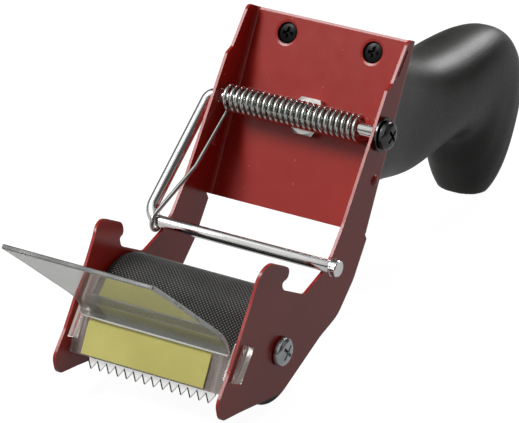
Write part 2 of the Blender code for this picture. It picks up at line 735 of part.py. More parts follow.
def cutter(root, pivot, steel, clear, yellow):
    """The blade, its clear holder with two tabs, the bare label and the flap."""
    half = BLADE_WIDTH / 2
    top = -HOLDER_DROP - SEAT_GAP
    foot = top - BLADE_HEIGHT
    teeth = round(BLADE_WIDTH / TOOTH_PITCH)
    pitch = BLADE_WIDTH / teeth
    outline = [(-half, top), (-half, foot)]
    for i in range(teeth):
        outline.append((-half + pitch * (i + 0.5), foot - TOOTH_HEIGHT))
        outline.append((-half + pitch * (i + 1), foot))
    outline.append((half, top))
    rings = [
        [spot(x, out, up) for x, up in outline] for out in (BLADE_OUT, BLADE_OUT + BLADE_THICKNESS)
    ]
    blade = skinned("blade", rings, root, steel)
    block_half = PLATE_IN - SEAT_GAP
    bottom = -HOLDER_DROP - HOLDER_HEIGHT
    low = (-block_half, HOLDER_OUT, bottom)
    high = (block_half, HOLDER_FRONT, -HOLDER_DROP)
    holder = block("blade_holder", low, high, root, clear)
    for side, name in ((-1, "left"), (1, "right")):
        back = HOLDER_OUT - BLOCK_BACK
        low = (side * (block_half - END_BLOCK), back, TAB_TOP - TAB_HEIGHT)
        high = (side * (PLATE_OUT + TAB_STAND), HOLDER_FRONT, TAB_TOP)
        carve(holder, block(f"tab_{name}", low, high, root, slant=TAB_SLANT), "UNION")
        x = side * half / 2
        up = -HOLDER_DROP - HOLDER_HEIGHT / 2
        back = BLADE_OUT - SEAT_GAP
        profile = ((back, STUD_RADIUS), (HOLDER_OUT + JOIN_OVERLAP, STUD_RADIUS))
        carve(holder, turned_out(f"stud_{name}", profile, x, up, root, None, WIRE_SIDES), "UNION")
        hole = STUD_RADIUS + SEAT_GAP
        profile = ((back, hole), (HOLDER_OUT, hole))
        carve(blade, turned_out(f"stud_hole_{name}", profile, x, up, root, None, WIRE_SIDES))
    label_top = -HOLDER_DROP - LABEL_DROP
    label_out = HOLDER_FRONT + SEAT_GAP
    low = (-LABEL_WIDTH / 2 - LABEL_SHIFT, label_out, label_top - LABEL_HEIGHT)
    high = (LABEL_WIDTH / 2 - LABEL_SHIFT, label_out + LABEL_THICKNESS, label_top)
    block("holder_label", low, high, root, yellow)
    flap(pivot, clear)


def flap(pivot, clear):
    """The bowed flap, a strip of even thickness along its middle line."""
    line = [
        Vector((FLAP_OUT + FLAP_LENGTH * out, FLAP_UP + FLAP_LENGTH * up))
        for out, up in FLAP_LINE_SHARES
    ]
    lower, upper = [], []
    for i, place in enumerate(line):
        along = (line[min(i + 1, len(line) - 1)] - line[max(i - 1, 0)]).normalized()
        across = Vector((-along.y, along.x)) * FLAP_THICKNESS / 2
        lower.append(place - across)
        upper.append(place + across)
    half = FLAP_WIDTH / 2
    section = lower + list(reversed(upper))
    rings = [[spot(x, p.x, p.y) for p in section] for x in (-half, half)]
    skinned("wiper_flap", rings, pivot, clear, sharp=60)


def stand_on_floor(root):
    """Moves the whole dispenser until its box stands centred on the origin."""
    bpy.context.view_layer.update()
    graph = bpy.context.evaluated_depsgraph_get()
    corners = []
    for made in bpy.context.scene.objects:
        if made.type == "EMPTY" or made.hide_render:
            continue
        seen = made.evaluated_get(graph)
        mesh = seen.to_mesh()
        corners.extend(seen.matrix_world @ v.co for v in mesh.vertices)
        seen.to_mesh_clear()
    rows = np.array([c[:] for c in corners])
    low, high = rows.min(axis=0), rows.max(axis=0)
    root.location -= Vector(((low[0] + high[0]) / 2, (low[1] + high[1]) / 2, low[2]))
    bpy.context.view_layer.update()


def main():
    """Builds the dispenser in an emptied scene."""
    for old in list(bpy.data.objects):
        bpy.data.objects.remove(old)
    red = material("red_paint", (0.33, 0.045, 0.032), 0.38)
    black = material("black_plastic", (0.03, 0.032, 0.03), 0.42)
    rubber = material("black_rubber", (0.03, 0.03, 0.03), 0.7)
    chrome = material("bright_wire", (0.75, 0.75, 0.73), 0.12, 1.0)
    spring_steel = material("spring_steel", (0.55, 0.55, 0.53), 0.25, 1.0)
    dark = material("dark_screw", (0.12, 0.12, 0.12), 0.25, 1.0)
    steel = material("blade_steel", (0.8, 0.8, 0.78), 0.25, 1.0)
    brass = material("brass", (0.6, 0.45, 0.2), 0.35, 1.0)
    grey = material("grey_plastic", (0.3, 0.3, 0.3), 0.5)
    clear = material("clear_plastic", (0.8, 0.82, 0.8), 0.08, 0.0, 0.4)
    yellow = material("yellow_label", (0.7, 0.62, 0.15), 0.4)

    root = empty("dispenser", None, Vector())
    root.rotation_euler.x = -REST_LEAN
    bail_pivot = empty("bail_pivot", root, spot(0, PIVOT_OUT, PIVOT_UP))
    roller_pivot = empty("roller_pivot", root, spot(0, ROLLER_OUT, -ROLLER_DROP))
    flap_pivot = empty("flap_pivot", root, spot(0, FLAP_OUT, FLAP_UP))
    folded_frame(root, red)
    handle(root, black, brass, steel, dark)
    bail(bail_pivot, chrome, dark)
    springs(bail_pivot, root, spring_steel)
    roller(roller_pivot, root, rubber, grey, steel, dark)
    cutter(root, flap_pivot, steel, clear, yellow)
    stand_on_floor(root)


main()
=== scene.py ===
import json
import math

import bmesh
import bpy
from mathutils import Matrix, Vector


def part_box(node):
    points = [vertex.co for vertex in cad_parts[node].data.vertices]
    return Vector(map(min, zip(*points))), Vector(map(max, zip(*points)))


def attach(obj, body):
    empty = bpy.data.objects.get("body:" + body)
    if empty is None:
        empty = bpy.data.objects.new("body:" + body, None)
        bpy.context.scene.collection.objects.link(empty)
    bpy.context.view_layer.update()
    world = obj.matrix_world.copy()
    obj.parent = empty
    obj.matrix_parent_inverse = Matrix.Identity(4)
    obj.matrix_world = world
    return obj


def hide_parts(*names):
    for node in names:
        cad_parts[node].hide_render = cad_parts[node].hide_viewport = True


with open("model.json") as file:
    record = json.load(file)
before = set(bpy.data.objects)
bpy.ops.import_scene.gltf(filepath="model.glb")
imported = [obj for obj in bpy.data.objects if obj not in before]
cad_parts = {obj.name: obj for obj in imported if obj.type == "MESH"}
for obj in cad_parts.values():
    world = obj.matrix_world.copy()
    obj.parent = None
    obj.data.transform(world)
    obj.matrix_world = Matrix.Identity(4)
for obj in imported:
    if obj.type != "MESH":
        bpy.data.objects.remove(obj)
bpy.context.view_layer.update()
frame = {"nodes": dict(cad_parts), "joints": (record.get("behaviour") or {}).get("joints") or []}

# The frame leans back on roller and pommel. Places are (x, out, up): x across
# the frame from its middle, out in front of the web, up above the web's foot.
REST_LEAN = math.radians(28)
OUT = Vector((0, -math.cos(REST_LEAN), math.sin(REST_LEAN)))
UP = Vector((0, math.sin(REST_LEAN), math.cos(REST_LEAN)))
ACROSS = Vector((1, 0, 0))
FULL_TURN = 2 * math.pi
SIDES = ((-1, "left"), (1, "right"))

# Folded frame
SHEET = 0.001
BEND_INSIDE = 0.0015
WEB_HEIGHT = 0.0626
NOSE_DEPTH = 0.0654
PLATE_REACH = 0.0683
EASY_ROUND = 0.012
HEEL_ROUND = 0.009
TIP_ROUND = 0.004
THUMB_ROUND = 0.0055
SMALL_ROUND = 0.0015
CORNER_ROUND = 0.003
SHEET_EDGE = 0.00035
THUMB_CREASE = -0.0215
THUMB_BEND = 0.0009
THUMB_FLARE = math.radians(9)
THUMB_FROM_SHARE = 0.55
PIP_OUT = 0.0043
PIP_UP = 0.0169
PIP_RADIUS = 0.0018
PIP_HEIGHT = 0.0009
PIP_POINT = 0.00005
HOLE_RIM_WIDTH = 0.0008
HOLE_RIM_DEPTH = 0.00021
TOP_ROLL_WIDTH = 0.0008
TOP_ROLL_DEPTH = 0.0002
GROOVE_WIDTH = 0.0008
GROOVE_DEPTH = 0.0006
GROOVE_SET_BACK = 0.0011
GROOVE_FROM_ENDS = 0.0033

# Fits
SEAT_GAP = 0.0003
CUT_OVERRUN = 0.002

# Wires
WIRE_RADIUS = 0.002
WIRE_TIP = 0.0003
BAIL_SPLAY = 0.0023
SHAFT_BEND = 0.0028
BAR_BEND = 0.0055
BAR_OVERHANG = 0.0048
SPRING_WIRE_RADIUS = 0.00075
COIL_RADIUS = 0.00385
COIL_PITCH = 0.00206
COIL_CURLS = 22
COIL_SET_IN = 0.00125
COIL_END_APART = math.radians(40)
HOOK_TURN = math.radians(215)
SPRING_TIP = 0.0002
CAP_WALL = 0.0004
CAP_LENGTH = 0.0028
CAP_FLOOR = 0.0008
CAP_FLANGE = 0.00015
CAP_FLANGE_LENGTH = 0.0006
CAP_HOLLOW_POINT = 0.0002

# Screws and bolt
SCREW_HEAD_RADIUS = 0.00465
SCREW_HEAD_HEIGHT = 0.0026
SCREW_RADIUS = 0.0015
SCREW_DEPTH = 0.006
CROSS_DEPTH = 0.0015
CROSS_WIDTH = 0.0011
PIVOT_SCREW_TURN = 0.5
AXLE_SCREW_TURN = 0.3
PIVOT_SCREW_RADIUS = 0.001
WASHER_RADIUS = 0.0056
WASHER_THICKNESS = 0.0008
WASHER_EASE = 0.00012
BOLT_FLATS = 0.012
BOLT_HEAD_HEIGHT = 0.00295
BOLT_RADIUS = 0.004
BOLT_LENGTH = 0.026
BOLT_CHAMFER = math.radians(28)
BOLT_TOP_SHARE = 0.96
BOLT_MIDDLE_SHARE = 0.3
GRIP_SCREW_HEAD_RADIUS = 0.0033
GRIP_SCREW_HEAD_HEIGHT = 0.0014
GRIP_SCREW_RADIUS = 0.0016
GRIP_SCREW_LENGTH = 0.0095
GRIP_SCREW_SPREAD = 0.0316
GRIP_SCREW_UP = 0.0563
GRIP_SCREW_SINK = 0.001

# Grip
GRIP_LENGTH = 0.126
GRIP_HEIGHT = 0.047
GRIP_WIDTH = 0.039
INSERT_BORE = 0.0068
INSERT_DEPTH = 0.029
GRIP_CROWN = 0.0012
CROWN_POINT_SHARE = 0.03

# Roller
ROLLER_EDGE = 0.0006
SLEEVE_WALL = 0.004
KNURL_PITCH = 0.00125
KNURL_DEPTH = 0.0003

# Blade, holder, label and flap
BLADE_HEIGHT = 0.0131
BLADE_THICKNESS = 0.0008
TOOTH_HEIGHT = 0.0027
TOOTH_PITCH = 0.0032
GROUND_WIDTH = 0.00022
GROUND_DEPTH = 0.0004
HOLDER_WALL = 0.0025
HOLDER_HEIGHT = 0.0125
HOLDER_DROP = 0.0452
TAB_HEIGHT = 0.0115
TAB_RISE = 0.0037
TAB_STAND = 0.0011
TAB_SLANT = 0.0022
END_BLOCK = 0.0019
BLOCK_BACK = 0.0021
STUD_RADIUS = 0.0013
STUD_ROOT = 0.0004
HOLDER_EASE = 0.00035
LABEL_WIDTH = 0.0445
LABEL_HEIGHT = 0.0111
LABEL_THICKNESS = 0.0003
LABEL_SHIFT = 0.0019
LABEL_DROP = 0.001
LABEL_EASE = 0.0001
FLAP_WIDTH = 0.053
FLAP_LENGTH = 0.0572
FLAP_THICKNESS = 0.0015
FLAP_EASE = 0.0003
SIDE_FACING = 0.5
BEAD_RADIUS = 0.00055
BEAD_EASE = 0.0001

# Camera
CAMERA_PLACE = (0.52118, 0.99045, 0.00434)
CAMERA_TURN = (65.257, -0.261, 31.442)
SENSOR_WIDTH = 36.0
PHOTO_WIDTH = 519
FOCAL_PIXELS = 3500
CAMERA_CLIP = (0.05, 20)

# Floor, world and lamps
WHITE = (1.0, 1.0, 1.0, 1.0)
FLOOR_HALF = 4.0
FLOOR_DROP = 0.0001
FLOOR_COLOUR = (0.13, 0.13, 0.13, 1.0)
FLOOR_GLOW = 0.96
FLOOR_MIRRORED = 0.45
WORLD_FILL = 0.08
BRIGHT_TOWARDS = (-0.45, -0.6, 0.65)
BRIGHT_FALL = {"From_Min": 0.6, "From_Max": 0.78, "To_Min": 0.05, "To_Max": 0.76}
LAMP_TARGET = (0, 0.02, 0)
# Each lamp's name, place, width and height, and watts
LAMPS = (
    ("key", (-0.61, -0.64, 1.0), (0.5, 0.5), 10.0),
    ("overhead", (0, 0, 1.25), (1.0, 1.0), 1.4),
    ("back", (0, 1.0, 0.65), (0.4, 0.6), 8.0),
    ("right", (1.1, 0.5, 0.5), (0.8, 0.8), 0.4),
)

# Heights as shares of the web's height, with the place out from the web as a
# share of the plates' reach, and the corner's radius
UPPER_EDGE_SHARES = (
    (0.016, 0.249, EASY_ROUND),
    (0.511, 0.186, EASY_ROUND),
    (0.719, 0.161, SMALL_ROUND),
    (0.759, 0.126, SMALL_ROUND),
    (1.000, 0.073, CORNER_ROUND),
)
# Drops as shares of the nose's depth, from the web's foot down the back edge,
# along the sole to the tip, up the front and round the thumb into the notch
LOWER_EDGE_SHARES = (
    (0.023, -0.009, 0),
    (0.228, 0.019, EASY_ROUND),
    (0.414, 0.086, EASY_ROUND),
    (0.530, 0.205, EASY_ROUND),
    (0.824, 0.436, HEEL_ROUND),
    (0.943, 0.785, EASY_ROUND),
    (1.000, 0.937, TIP_ROUND),
    (0.925, 1.000, TIP_ROUND),
    (0.780, 0.968, EASY_ROUND),
    (0.443, 0.930, EASY_ROUND),
    (0.234, 0.915, THUMB_ROUND),
    (0.234, 0.676, CORNER_ROUND),
    (0.290, 0.672, SMALL_ROUND),
    (0.305, 0.698, SMALL_ROUND),
    (0.347, 0.694, CORNER_ROUND),
    (0.347, 0.455, CORNER_ROUND),
    (0.229, 0.337, CORNER_ROUND),
    (0.153, 0.290, EASY_ROUND),
)
LEDGE_REST_SHARE = 0.75
LEG_INSIDE_SHARE = 0.55
# Grip sections: place along the grip, lowest and highest side and width as
# shares of the grip's length, height and width, and how square each one is
GRIP_SECTION_SHARES = (
    (0.000, 0.250, 1.300, 1.10, 7.0),
    (0.090, 0.255, 1.280, 1.08, 6.5),
    (0.170, 0.290, 1.240, 0.98, 4.5),
    (0.300, 0.350, 1.240, 0.88, 2.9),
    (0.450, 0.450, 1.290, 0.84, 2.5),
    (0.580, 0.640, 1.410, 0.82, 2.4),
    (0.690, 0.790, 1.550, 0.80, 2.4),
    (0.780, 0.800, 1.655, 0.78, 2.4),
    (0.860, 0.600, 1.710, 0.78, 2.4),
    (0.930, 0.440, 1.690, 0.77, 2.4),
    (0.980, 0.420, 1.590, 0.68, 2.4),
    (1.000, 0.520, 1.440, 0.44, 2.4),
)
# A screw head's dome: rise and radius as shares of its height and radius
PAN_HEAD_SHARES = (
    (0.00, 0.97),
    (0.06, 1.00),
    (0.40, 0.99),
    (0.62, 0.94),
    (0.80, 0.83),
    (0.92, 0.66),
    (0.98, 0.45),
    (1.00, 0.22),
)
# A sunk head's eased edge: drop from its top, and share of its radius
SUNK_HEAD_EASE = ((0, 0.4), (0.00005, 0.8), (0.0002, 0.95), (0.0005, 1.0))
# The end cap's eased flange and end: along or back, and drop from the radius
CAP_FLANGE_EASE = ((0, 0.0001), (0.0001, 0), (0.0005, 0), (0.0006, 0.0001))
CAP_END_EASE = ((0.0006, 0), (0.0002, 0.0002), (0, 0.0007))
# The sleeve's eased ends: back and drop as shares of its edge
SLEEVE_EASE_SHARES = ((0, 0.8), (0.25, 0.3), (0.9, 0))
CROSS_MOUTH_SHARE = 1.15
CROSS_ARM_SHARE = 0.62
CROSS_FOOT_SHARE = 0.4
# The flap's bowed middle line from its root: out and up as shares of its length
FLAP_LINE_SHARES = (
    (0.000, 0.000),
    (0.038, 0.037),
    (0.093, 0.073),
    (0.157, 0.096),
    (0.262, 0.121),
    (0.385, 0.147),
    (0.675, 0.210),
    (0.963, 0.270),
)

# Facets
FLAT_FACE_SHARE = 0.03
ARC_STEPS = 9
FOLD_STEPS = 24
FRAME_SHARP = math.radians(12)
FLARE_STEPS = 8
THUMB_STRIPS = 4
PIP_STEPS = 8
CROWN_STEPS = 6
FLAP_STEPS = 48
BOLT_SIDES = 96
HEAD_SIDES = 64
HOLE_SIDES = 48
SHAFT_HOLE_SIDES = 40
PIP_SIDES = 32
PIN_SIDES = 24
WIRE_SIDES = 28
SPRING_SIDES = 14
CURL_POINTS = 28
GRIP_SIDES = 128
GRIP_RINGS = 150
GRIP_CROWDING = 1.35


def frame_origin():
    """The middle of the web's foot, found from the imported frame's own box."""
    rows = [
        (v.co.x, v.co.dot(OUT), v.co.dot(UP))
        for v in frame["nodes"]["folded_frame"].data.vertices
    ]
    low = [min(column) for column in zip(*rows)]
    high = [max(column) for column in zip(*rows)]
    middle = (low[0] + high[0]) / 2
    foot = ACROSS * middle + OUT * (low[1] + SHEET) + UP * (high[2] - WEB_HEIGHT)
    return foot, (high[0] - low[0]) / 2


ORIGIN, PLATE_OUT = frame_origin()
PLATE_IN = PLATE_OUT - SHEET


def spot(x, out, up):
    """A place in the frame's own directions."""
    return ORIGIN + ACROSS * x + OUT * out + UP * up


def joint_place(name):
    """Where a joint's axis lies, as (out, up)."""
    joint = next(j for j in frame["joints"] if j["name"] == name)
    apart = Vector(joint["pos_m"]) - ORIGIN
    return apart.dot(OUT), apart.dot(UP)


PIVOT_OUT, PIVOT_UP = joint_place("bail_swing")
ROLLER_OUT, ROLLER_UP = joint_place("roller_spin")
FLAP_OUT, FLAP_UP = joint_place("flap_flex")
ROLLER_LOW, ROLLER_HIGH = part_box("roller_sleeve")
ROLLER_RADIUS = (ROLLER_HIGH.z - ROLLER_LOW.z) / 2
ROLLER_HALF = (ROLLER_HIGH.x - ROLLER_LOW.x) / 2
HOLDER_FRONT = FLAP_OUT - FLAP_THICKNESS / 2 - SEAT_GAP
HOLDER_OUT = HOLDER_FRONT - HOLDER_WALL
BLADE_OUT = HOLDER_OUT - SEAT_GAP - BLADE_THICKNESS
TAB_TOP = TAB_RISE - HOLDER_DROP
STUD_UP = -HOLDER_DROP - HOLDER_HEIGHT / 2
BLADE_LOW, BLADE_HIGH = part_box("blade")
BLADE_WIDTH = BLADE_HIGH.x - BLADE_LOW.x


def placed(name, data):
    """A new object of a mesh, lamp or camera, placed in the scene."""
    made = bpy.data.objects.new(name, data)
    bpy.context.collection.objects.link(made)
    return made


def put(mesh, body, skin, replaced=(), sharp=30):
    """Puts a finished mesh in the scene on its body, under the mesh's name."""
    made = placed(mesh.name, mesh)
    mesh.shade_smooth()
    mesh.set_sharp_from_angle(angle=math.radians(sharp))
    if skin:
        mesh.materials.append(skin)
    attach(made, body)
    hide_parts(*replaced)
    return made


def mesh_of(name, rings, looped=False):
    """A closed mesh over rings of equal count, capped at both ends or looped."""
    bm = bmesh.new()
    rows = [[bm.verts.new(point) for point in points] for points in rings]
    pairs = list(zip(rows, rows[1:]))
    if looped:
        pairs.append((rows[-1], rows[0]))
    for first, second in pairs:
        for i in range(len(first)):
            j = (i + 1) % len(first)
            bm.faces.new((first[i], first[j], second[j], second[i]))
    if not looped:
        bm.faces.new(rows[0])
        bm.faces.new(list(reversed(rows[-1])))
    return mesh_from(bm, name)


def mesh_from(bm, name):
    """The mesh that a construction ends as, with its faces turned outwards."""
    bmesh.ops.recalc_face_normals(bm, faces=bm.faces)
    mesh = bpy.data.meshes.new(name)
    bm.to_mesh(mesh)
    bm.free()
    return mesh


def ring(centre, first, second, radii):
    """Points round a centre in the plane of two directions, one for each radius."""
    points = []
    for i, radius in enumerate(radii):
        turn = FULL_TURN * i / len(radii)
        point = centre + first * (radius * math.cos(turn))
        points.append(point + second * (radius * math.sin(turn)))
    return points


def turned_x(name, profile, out, up, sides, looped=False):
    """A mesh turned round a line across the frame, from (x, radius) points."""
    rings = [ring(spot(x, out, up), OUT, UP, [r] * sides) for x, r in profile]
    return mesh_of(name, rings, looped)


def turned_out(name, profile, x, up, sides):
    """A mesh turned round a line square to the web, from (out, radius) points."""
    rings = [ring(spot(x, out, up), ACROSS, UP, [r] * sides) for out, r in profile]
    return mesh_of(name, rings)


def eased(low, high, radius, ease):
    """The profile of a round edge between two places, eased at both."""
    return (
        (low, radius - ease),
        (low + ease, radius),
        (high - ease, radius),
        (high, radius - ease),
    )


def turned_point(x, hub, radius, turn):
    """A point at a turn round a line across the frame, zero towards the front."""
    return spot(x, hub.x + radius * math.cos(turn), hub.y + radius * math.sin(turn))


def prism(name, section, ends):
    """A prism across the frame, with one (out, up) section between two places x."""
    return mesh_of(name, [[spot(x, *place) for place in section] for x in ends])


def block(name, low, high, slant=0):
    """A box between two (x, out, up) corners, whose foot may lie further out."""
    foot = ((low[1] + slant, low[2]), (high[1] + slant, low[2]))
    head = ((high[1], high[2]), (low[1], high[2]))
    return prism(name, foot + head, (low[0], high[0]))


def carve(target, mesh, operation="DIFFERENCE"):
    """Cuts an object by a mesh, or joins the two, and drops the cutter."""
    cutter = placed(mesh.name, mesh)
    step = target.modifiers.new(mesh.name, "BOOLEAN")
    step.operation = operation
    step.solver = "EXACT"
    step.object = cutter
    apply(target)
    bpy.data.objects.remove(cutter)


def apply(target):
    """Turns an object's modifiers into plain mesh."""
    bpy.context.view_layer.update()
    graph = bpy.context.evaluated_depsgraph_get()
    mesh = bpy.data.meshes.new_from_object(target.evaluated_get(graph))
    old = target.data
    mesh.name = old.name
    target.modifiers.clear()
    target.data = mesh
    bpy.data.meshes.remove(old)


def keep_flat(mesh):
    """Marks the edges of a mesh's large faces, so that those faces shade flat."""
    largest = max(face.area for face in mesh.polygons)
    for face in mesh.polygons:
        if face.area > largest * FLAT_FACE_SHARE:
            for loop in face.loop_indices:
                mesh.edges[mesh.loops[loop].edge_index].use_edge_sharp = True


def ease_edges(target, width, segments=3, angle=40, flat=True):
    """Rounds an object's sharp edges so that they catch the light."""
    bevel = target.modifiers.new("edges", "BEVEL")
    bevel.width = width
    bevel.segments = segments
    bevel.limit_method = "ANGLE"
    bevel.angle_limit = math.radians(angle)
    bevel.use_clamp_overlap = True
    apply(target)
    if flat:
        keep_flat(target.data)


def rounded(points):
    """Turns (point, radius) corners into a chain with arcs at the corners."""
    chain = []
    for i, (corner, radius) in enumerate(points):
        if not radius or i in (0, len(points) - 1):
            chain.append(corner)
            continue
        back = (points[i - 1][0] - corner).normalized()
        ahead = (points[i + 1][0] - corner).normalized()
        half = back.angle(ahead) / 2
        middle = corner + (back + ahead).normalized() * (radius / math.sin(half))
        start = corner + back * (radius / math.tan(half)) - middle
        end = corner + ahead * (radius / math.tan(half)) - middle
        sweep = start.angle(end)
        for step in range(ARC_STEPS + 1):
            share = step / ARC_STEPS
            part = start * math.sin((1 - share) * sweep) + end * math.sin(share * sweep)
            chain.append(middle + part / math.sin(sweep))
    return chain


def tube(name, points, radius, sides, tip):
    """A round wire along a chain of points, with slightly rounded ends."""
    rings = []
    side = (points[1] - points[0]).normalized().orthogonal().normalized()
    last = len(points) - 1
    for i, point in enumerate(points):
        heading = (points[min(i + 1, last)] - points[max(i - 1, 0)]).normalized()
        side = (side - heading * side.dot(heading)).normalized()
        sections = [(point, radius)]
        if i == 0:
            sections = [(point, radius - tip), (point + heading * tip, radius)]
        elif i == last:
            sections = [(point - heading * tip, radius), (point, radius - tip)]
        for centre, r in sections:
            rings.append(ring(centre, side, heading.cross(side), [r] * sides))
    return mesh_of(name, rings)


def smooth_row(rows, place):
    """A row of values at a place, on a smooth curve through rows of (place, values)."""
    last = len(rows) - 1
    k = next((i for i in range(last) if place <= rows[i + 1][0]), last - 1)

    def slope(i, column):
        before, after = rows[max(i - 1, 0)], rows[min(i + 1, last)]
        return (after[column] - before[column]) / (after[0] - before[0])

    width = rows[k + 1][0] - rows[k][0]
    t = (place - rows[k][0]) / width
    result = []
    for column in range(1, len(rows[0])):
        p0, p1 = rows[k][column], rows[k + 1][column]
        m0, m1 = slope(k, column) * width, slope(k + 1, column) * width
        value = (2 * t**3 - 3 * t**2 + 1) * p0 + (t**3 - 2 * t**2 + t) * m0
        value += (-2 * t**3 + 3 * t**2) * p1 + (t**3 - t**2) * m1
        result.append(value)
    return result


def fill(tree, socket, given):
    """Sets an input to a value, or links it to another node's output."""
    if isinstance(given, bpy.types.NodeSocket):
        tree.links.new(given, socket)
    else:
        socket.default_value = given


def fill_named(tree, node, inputs):
    """Fills the inputs that are given by name, with _ for a space."""
    for name, given in inputs.items():
        fill(tree, node.inputs[name.replace("_", " ")], given)


def add_node(tree, kind, **inputs):
    """A shader node with its inputs filled."""
    node = tree.nodes.new(f"ShaderNode{kind}")
    fill_named(tree, node, inputs)
    return node


def worked_out(tree, operation, *given):
    """The result of one step of arithmetic on values or outputs."""
    node = tree.nodes.new("ShaderNodeMath")
    node.operation = operation
    for socket, value in zip(node.inputs, given):
        fill(tree, socket, value)
    return node.outputs[0]


class Skin:
    """A material under way: its Principled shader and its node tree."""

    def __init__(self, name):
        self.material = bpy.data.materials.new(name)
        self.material.use_nodes = True
        self.tree = self.material.node_tree
        self.shader = self.tree.nodes["Principled BSDF"]
        self.place = self.node("TexCoord").outputs["Object"]

    def node(self, kind, **inputs):
        return add_node(self.tree, kind, **inputs)

    def set(self, **inputs):
        """Sets or links the shader's own inputs."""
        fill_named(self.tree, self.shader, inputs)

    def stretch(self, scale):
        """The object's coordinates, stretched."""
        return self.node("Mapping", Scale=scale, Vector=self.place).outputs["Vector"]

    def reach(self, centre):
        """How far a place lies from a line across the frame."""
        vector = self.place
        for operation, given in (("SUBTRACT", centre), ("MULTIPLY", (0, 1, 1)), ("LENGTH", None)):
            node = self.node("VectorMath")
            node.operation = operation
            self.tree.links.new(vector, node.inputs[0])
            if given:
                node.inputs[1].default_value = given
            vector = node.outputs["Value" if operation == "LENGTH" else "Vector"]
        return vector

    def noise(self, scale, detail=4.0, roughness=0.5, vector=None):
        vector = vector or self.place
        node = self.node("TexNoise", Scale=scale, Detail=detail, Roughness=roughness, Vector=vector)
        return node.outputs["Fac"]

    def tones(self, fac, low, high, first=0.3, last=0.7):
        """Colours from low to high as a value runs from first to last."""
        node = self.node("ValToRGB", Fac=fac)
        elements = node.color_ramp.elements
        for element, place, colour in zip(elements, (first, last), (low, high)):
            element.position = place
            element.color = (*colour, 1.0)
        return node.outputs["Color"]

    def blend(self, share, first, second):
        """One colour laid over another by a share."""
        node = self.node("Mix")
        node.data_type = "RGBA"
        fill(self.tree, node.inputs["Factor"], share)
        for name, given in (("A", first), ("B", second)):
            socket = next(i for i in node.inputs if i.name == name and i.type == "RGBA")
            fill(self.tree, socket, (*given, 1.0) if isinstance(given, tuple) else given)
        return next(o for o in node.outputs if o.type == "RGBA")

    def span(self, fac, low, high, first=0.3, last=0.7):
        """A value brought from first..last to low..high."""
        ends = {"From_Min": first, "From_Max": last, "To_Min": low, "To_Max": high}
        return self.node("MapRange", Value=fac, **ends).outputs["Result"]

    def bump(self, height, strength, distance):
        node = self.node("Bump", Strength=strength, Distance=distance, Height=height)
        self.set(Normal=node.outputs["Normal"])


def red_paint():
    """Baked red enamel with a faint orange peel and a few pale specks."""
    skin = Skin("red_paint")
    tone = skin.tones(skin.noise(55, 3), (0.44, 0.022, 0.014), (0.49, 0.028, 0.018))
    specks = skin.span(skin.noise(700, 1), 0.0, 0.5, first=0.765, last=0.79)
    skin.set(
        Base_Color=skin.blend(specks, tone, (0.62, 0.33, 0.27)),
        Roughness=skin.span(skin.noise(260, 2), 0.2, 0.26),
        IOR=1.45,
        Specular_IOR_Level=0.5,
    )
    skin.bump(skin.noise(500, 2), strength=0.04, distance=0.0001)
    return skin.material


def grip_plastic():
    """Black moulded plastic with a fine matt grain."""
    skin = Skin("grip_plastic")
    skin.set(
        Base_Color=skin.tones(skin.noise(30, 4), (0.012, 0.013, 0.011), (0.017, 0.018, 0.015)),
        Roughness=skin.span(skin.noise(1400, 2), 0.36, 0.46),
        Specular_IOR_Level=0.32,
    )
    skin.bump(skin.noise(1500, 3), strength=0.5, distance=0.00015)
    return skin.material


def bright_plate(name, low, high, rough):
    """Bright plated steel with a slight unevenness."""
    skin = Skin(name)
    skin.set(
        Base_Color=skin.tones(skin.noise(240, 3), low, high),
        Roughness=skin.span(skin.noise(700, 3), rough * 0.8, rough * 1.3),
        Metallic=1.0,
    )
    skin.bump(skin.noise(350, 2), strength=0.05, distance=0.0001)
    return skin.material


def brushed(name, low, high, rough, scale):
    """Steel with fine lines from drawing or grinding."""
    skin = Skin(name)
    lines = skin.noise(600, 3, 0.6, skin.stretch(scale))
    skin.set(
        Base_Color=skin.tones(lines, low, high),
        Roughness=skin.span(lines, rough * 0.8, rough * 1.3),
        Metallic=1.0,
    )
    skin.bump(lines, strength=0.15, distance=0.0001)
    return skin.material


def roller_rubber():
    """Black rubber whose knurl is pale on its points, from dust and a painted sheen, and painted
    near black in its valleys as shade.
    """
    skin = Skin("roller_rubber")
    rise = skin.reach(spot(0, ROLLER_OUT, ROLLER_UP))
    # Painted shade and sheen: this share runs from 0 in the valleys, painted near black as shade,
    # to 1 on the points, painted pale grey as dust and a painted sheen.
    dust_sheen_and_valley_shade = skin.span(rise, 0.0, 1.0, ROLLER_RADIUS - KNURL_DEPTH * 0.6, ROLLER_RADIUS)
    dust_and_sheen = skin.tones(skin.noise(120, 5, 0.6), (0.36, 0.36, 0.35), (0.52, 0.52, 0.5), 0.35, 0.75)
    # The near-black valley colour is painted shade; the pale points are dust with a painted sheen.
    skin.set(
        Base_Color=skin.blend(dust_sheen_and_valley_shade, (0.004, 0.004, 0.004), dust_and_sheen),
        Roughness=skin.span(rise, 0.6, 0.35, ROLLER_RADIUS - KNURL_DEPTH, ROLLER_RADIUS),
    )
    skin.bump(skin.noise(3000, 2), strength=0.2, distance=0.00005)
    return skin.material


def core_plastic():
    """Grey moulded plastic."""
    skin = Skin("core_plastic")
    skin.set(
        Base_Color=skin.tones(skin.noise(60, 3), (0.26, 0.26, 0.26), (0.32, 0.32, 0.31)),
        Roughness=skin.span(skin.noise(800, 3), 0.45, 0.55),
    )
    return skin.material


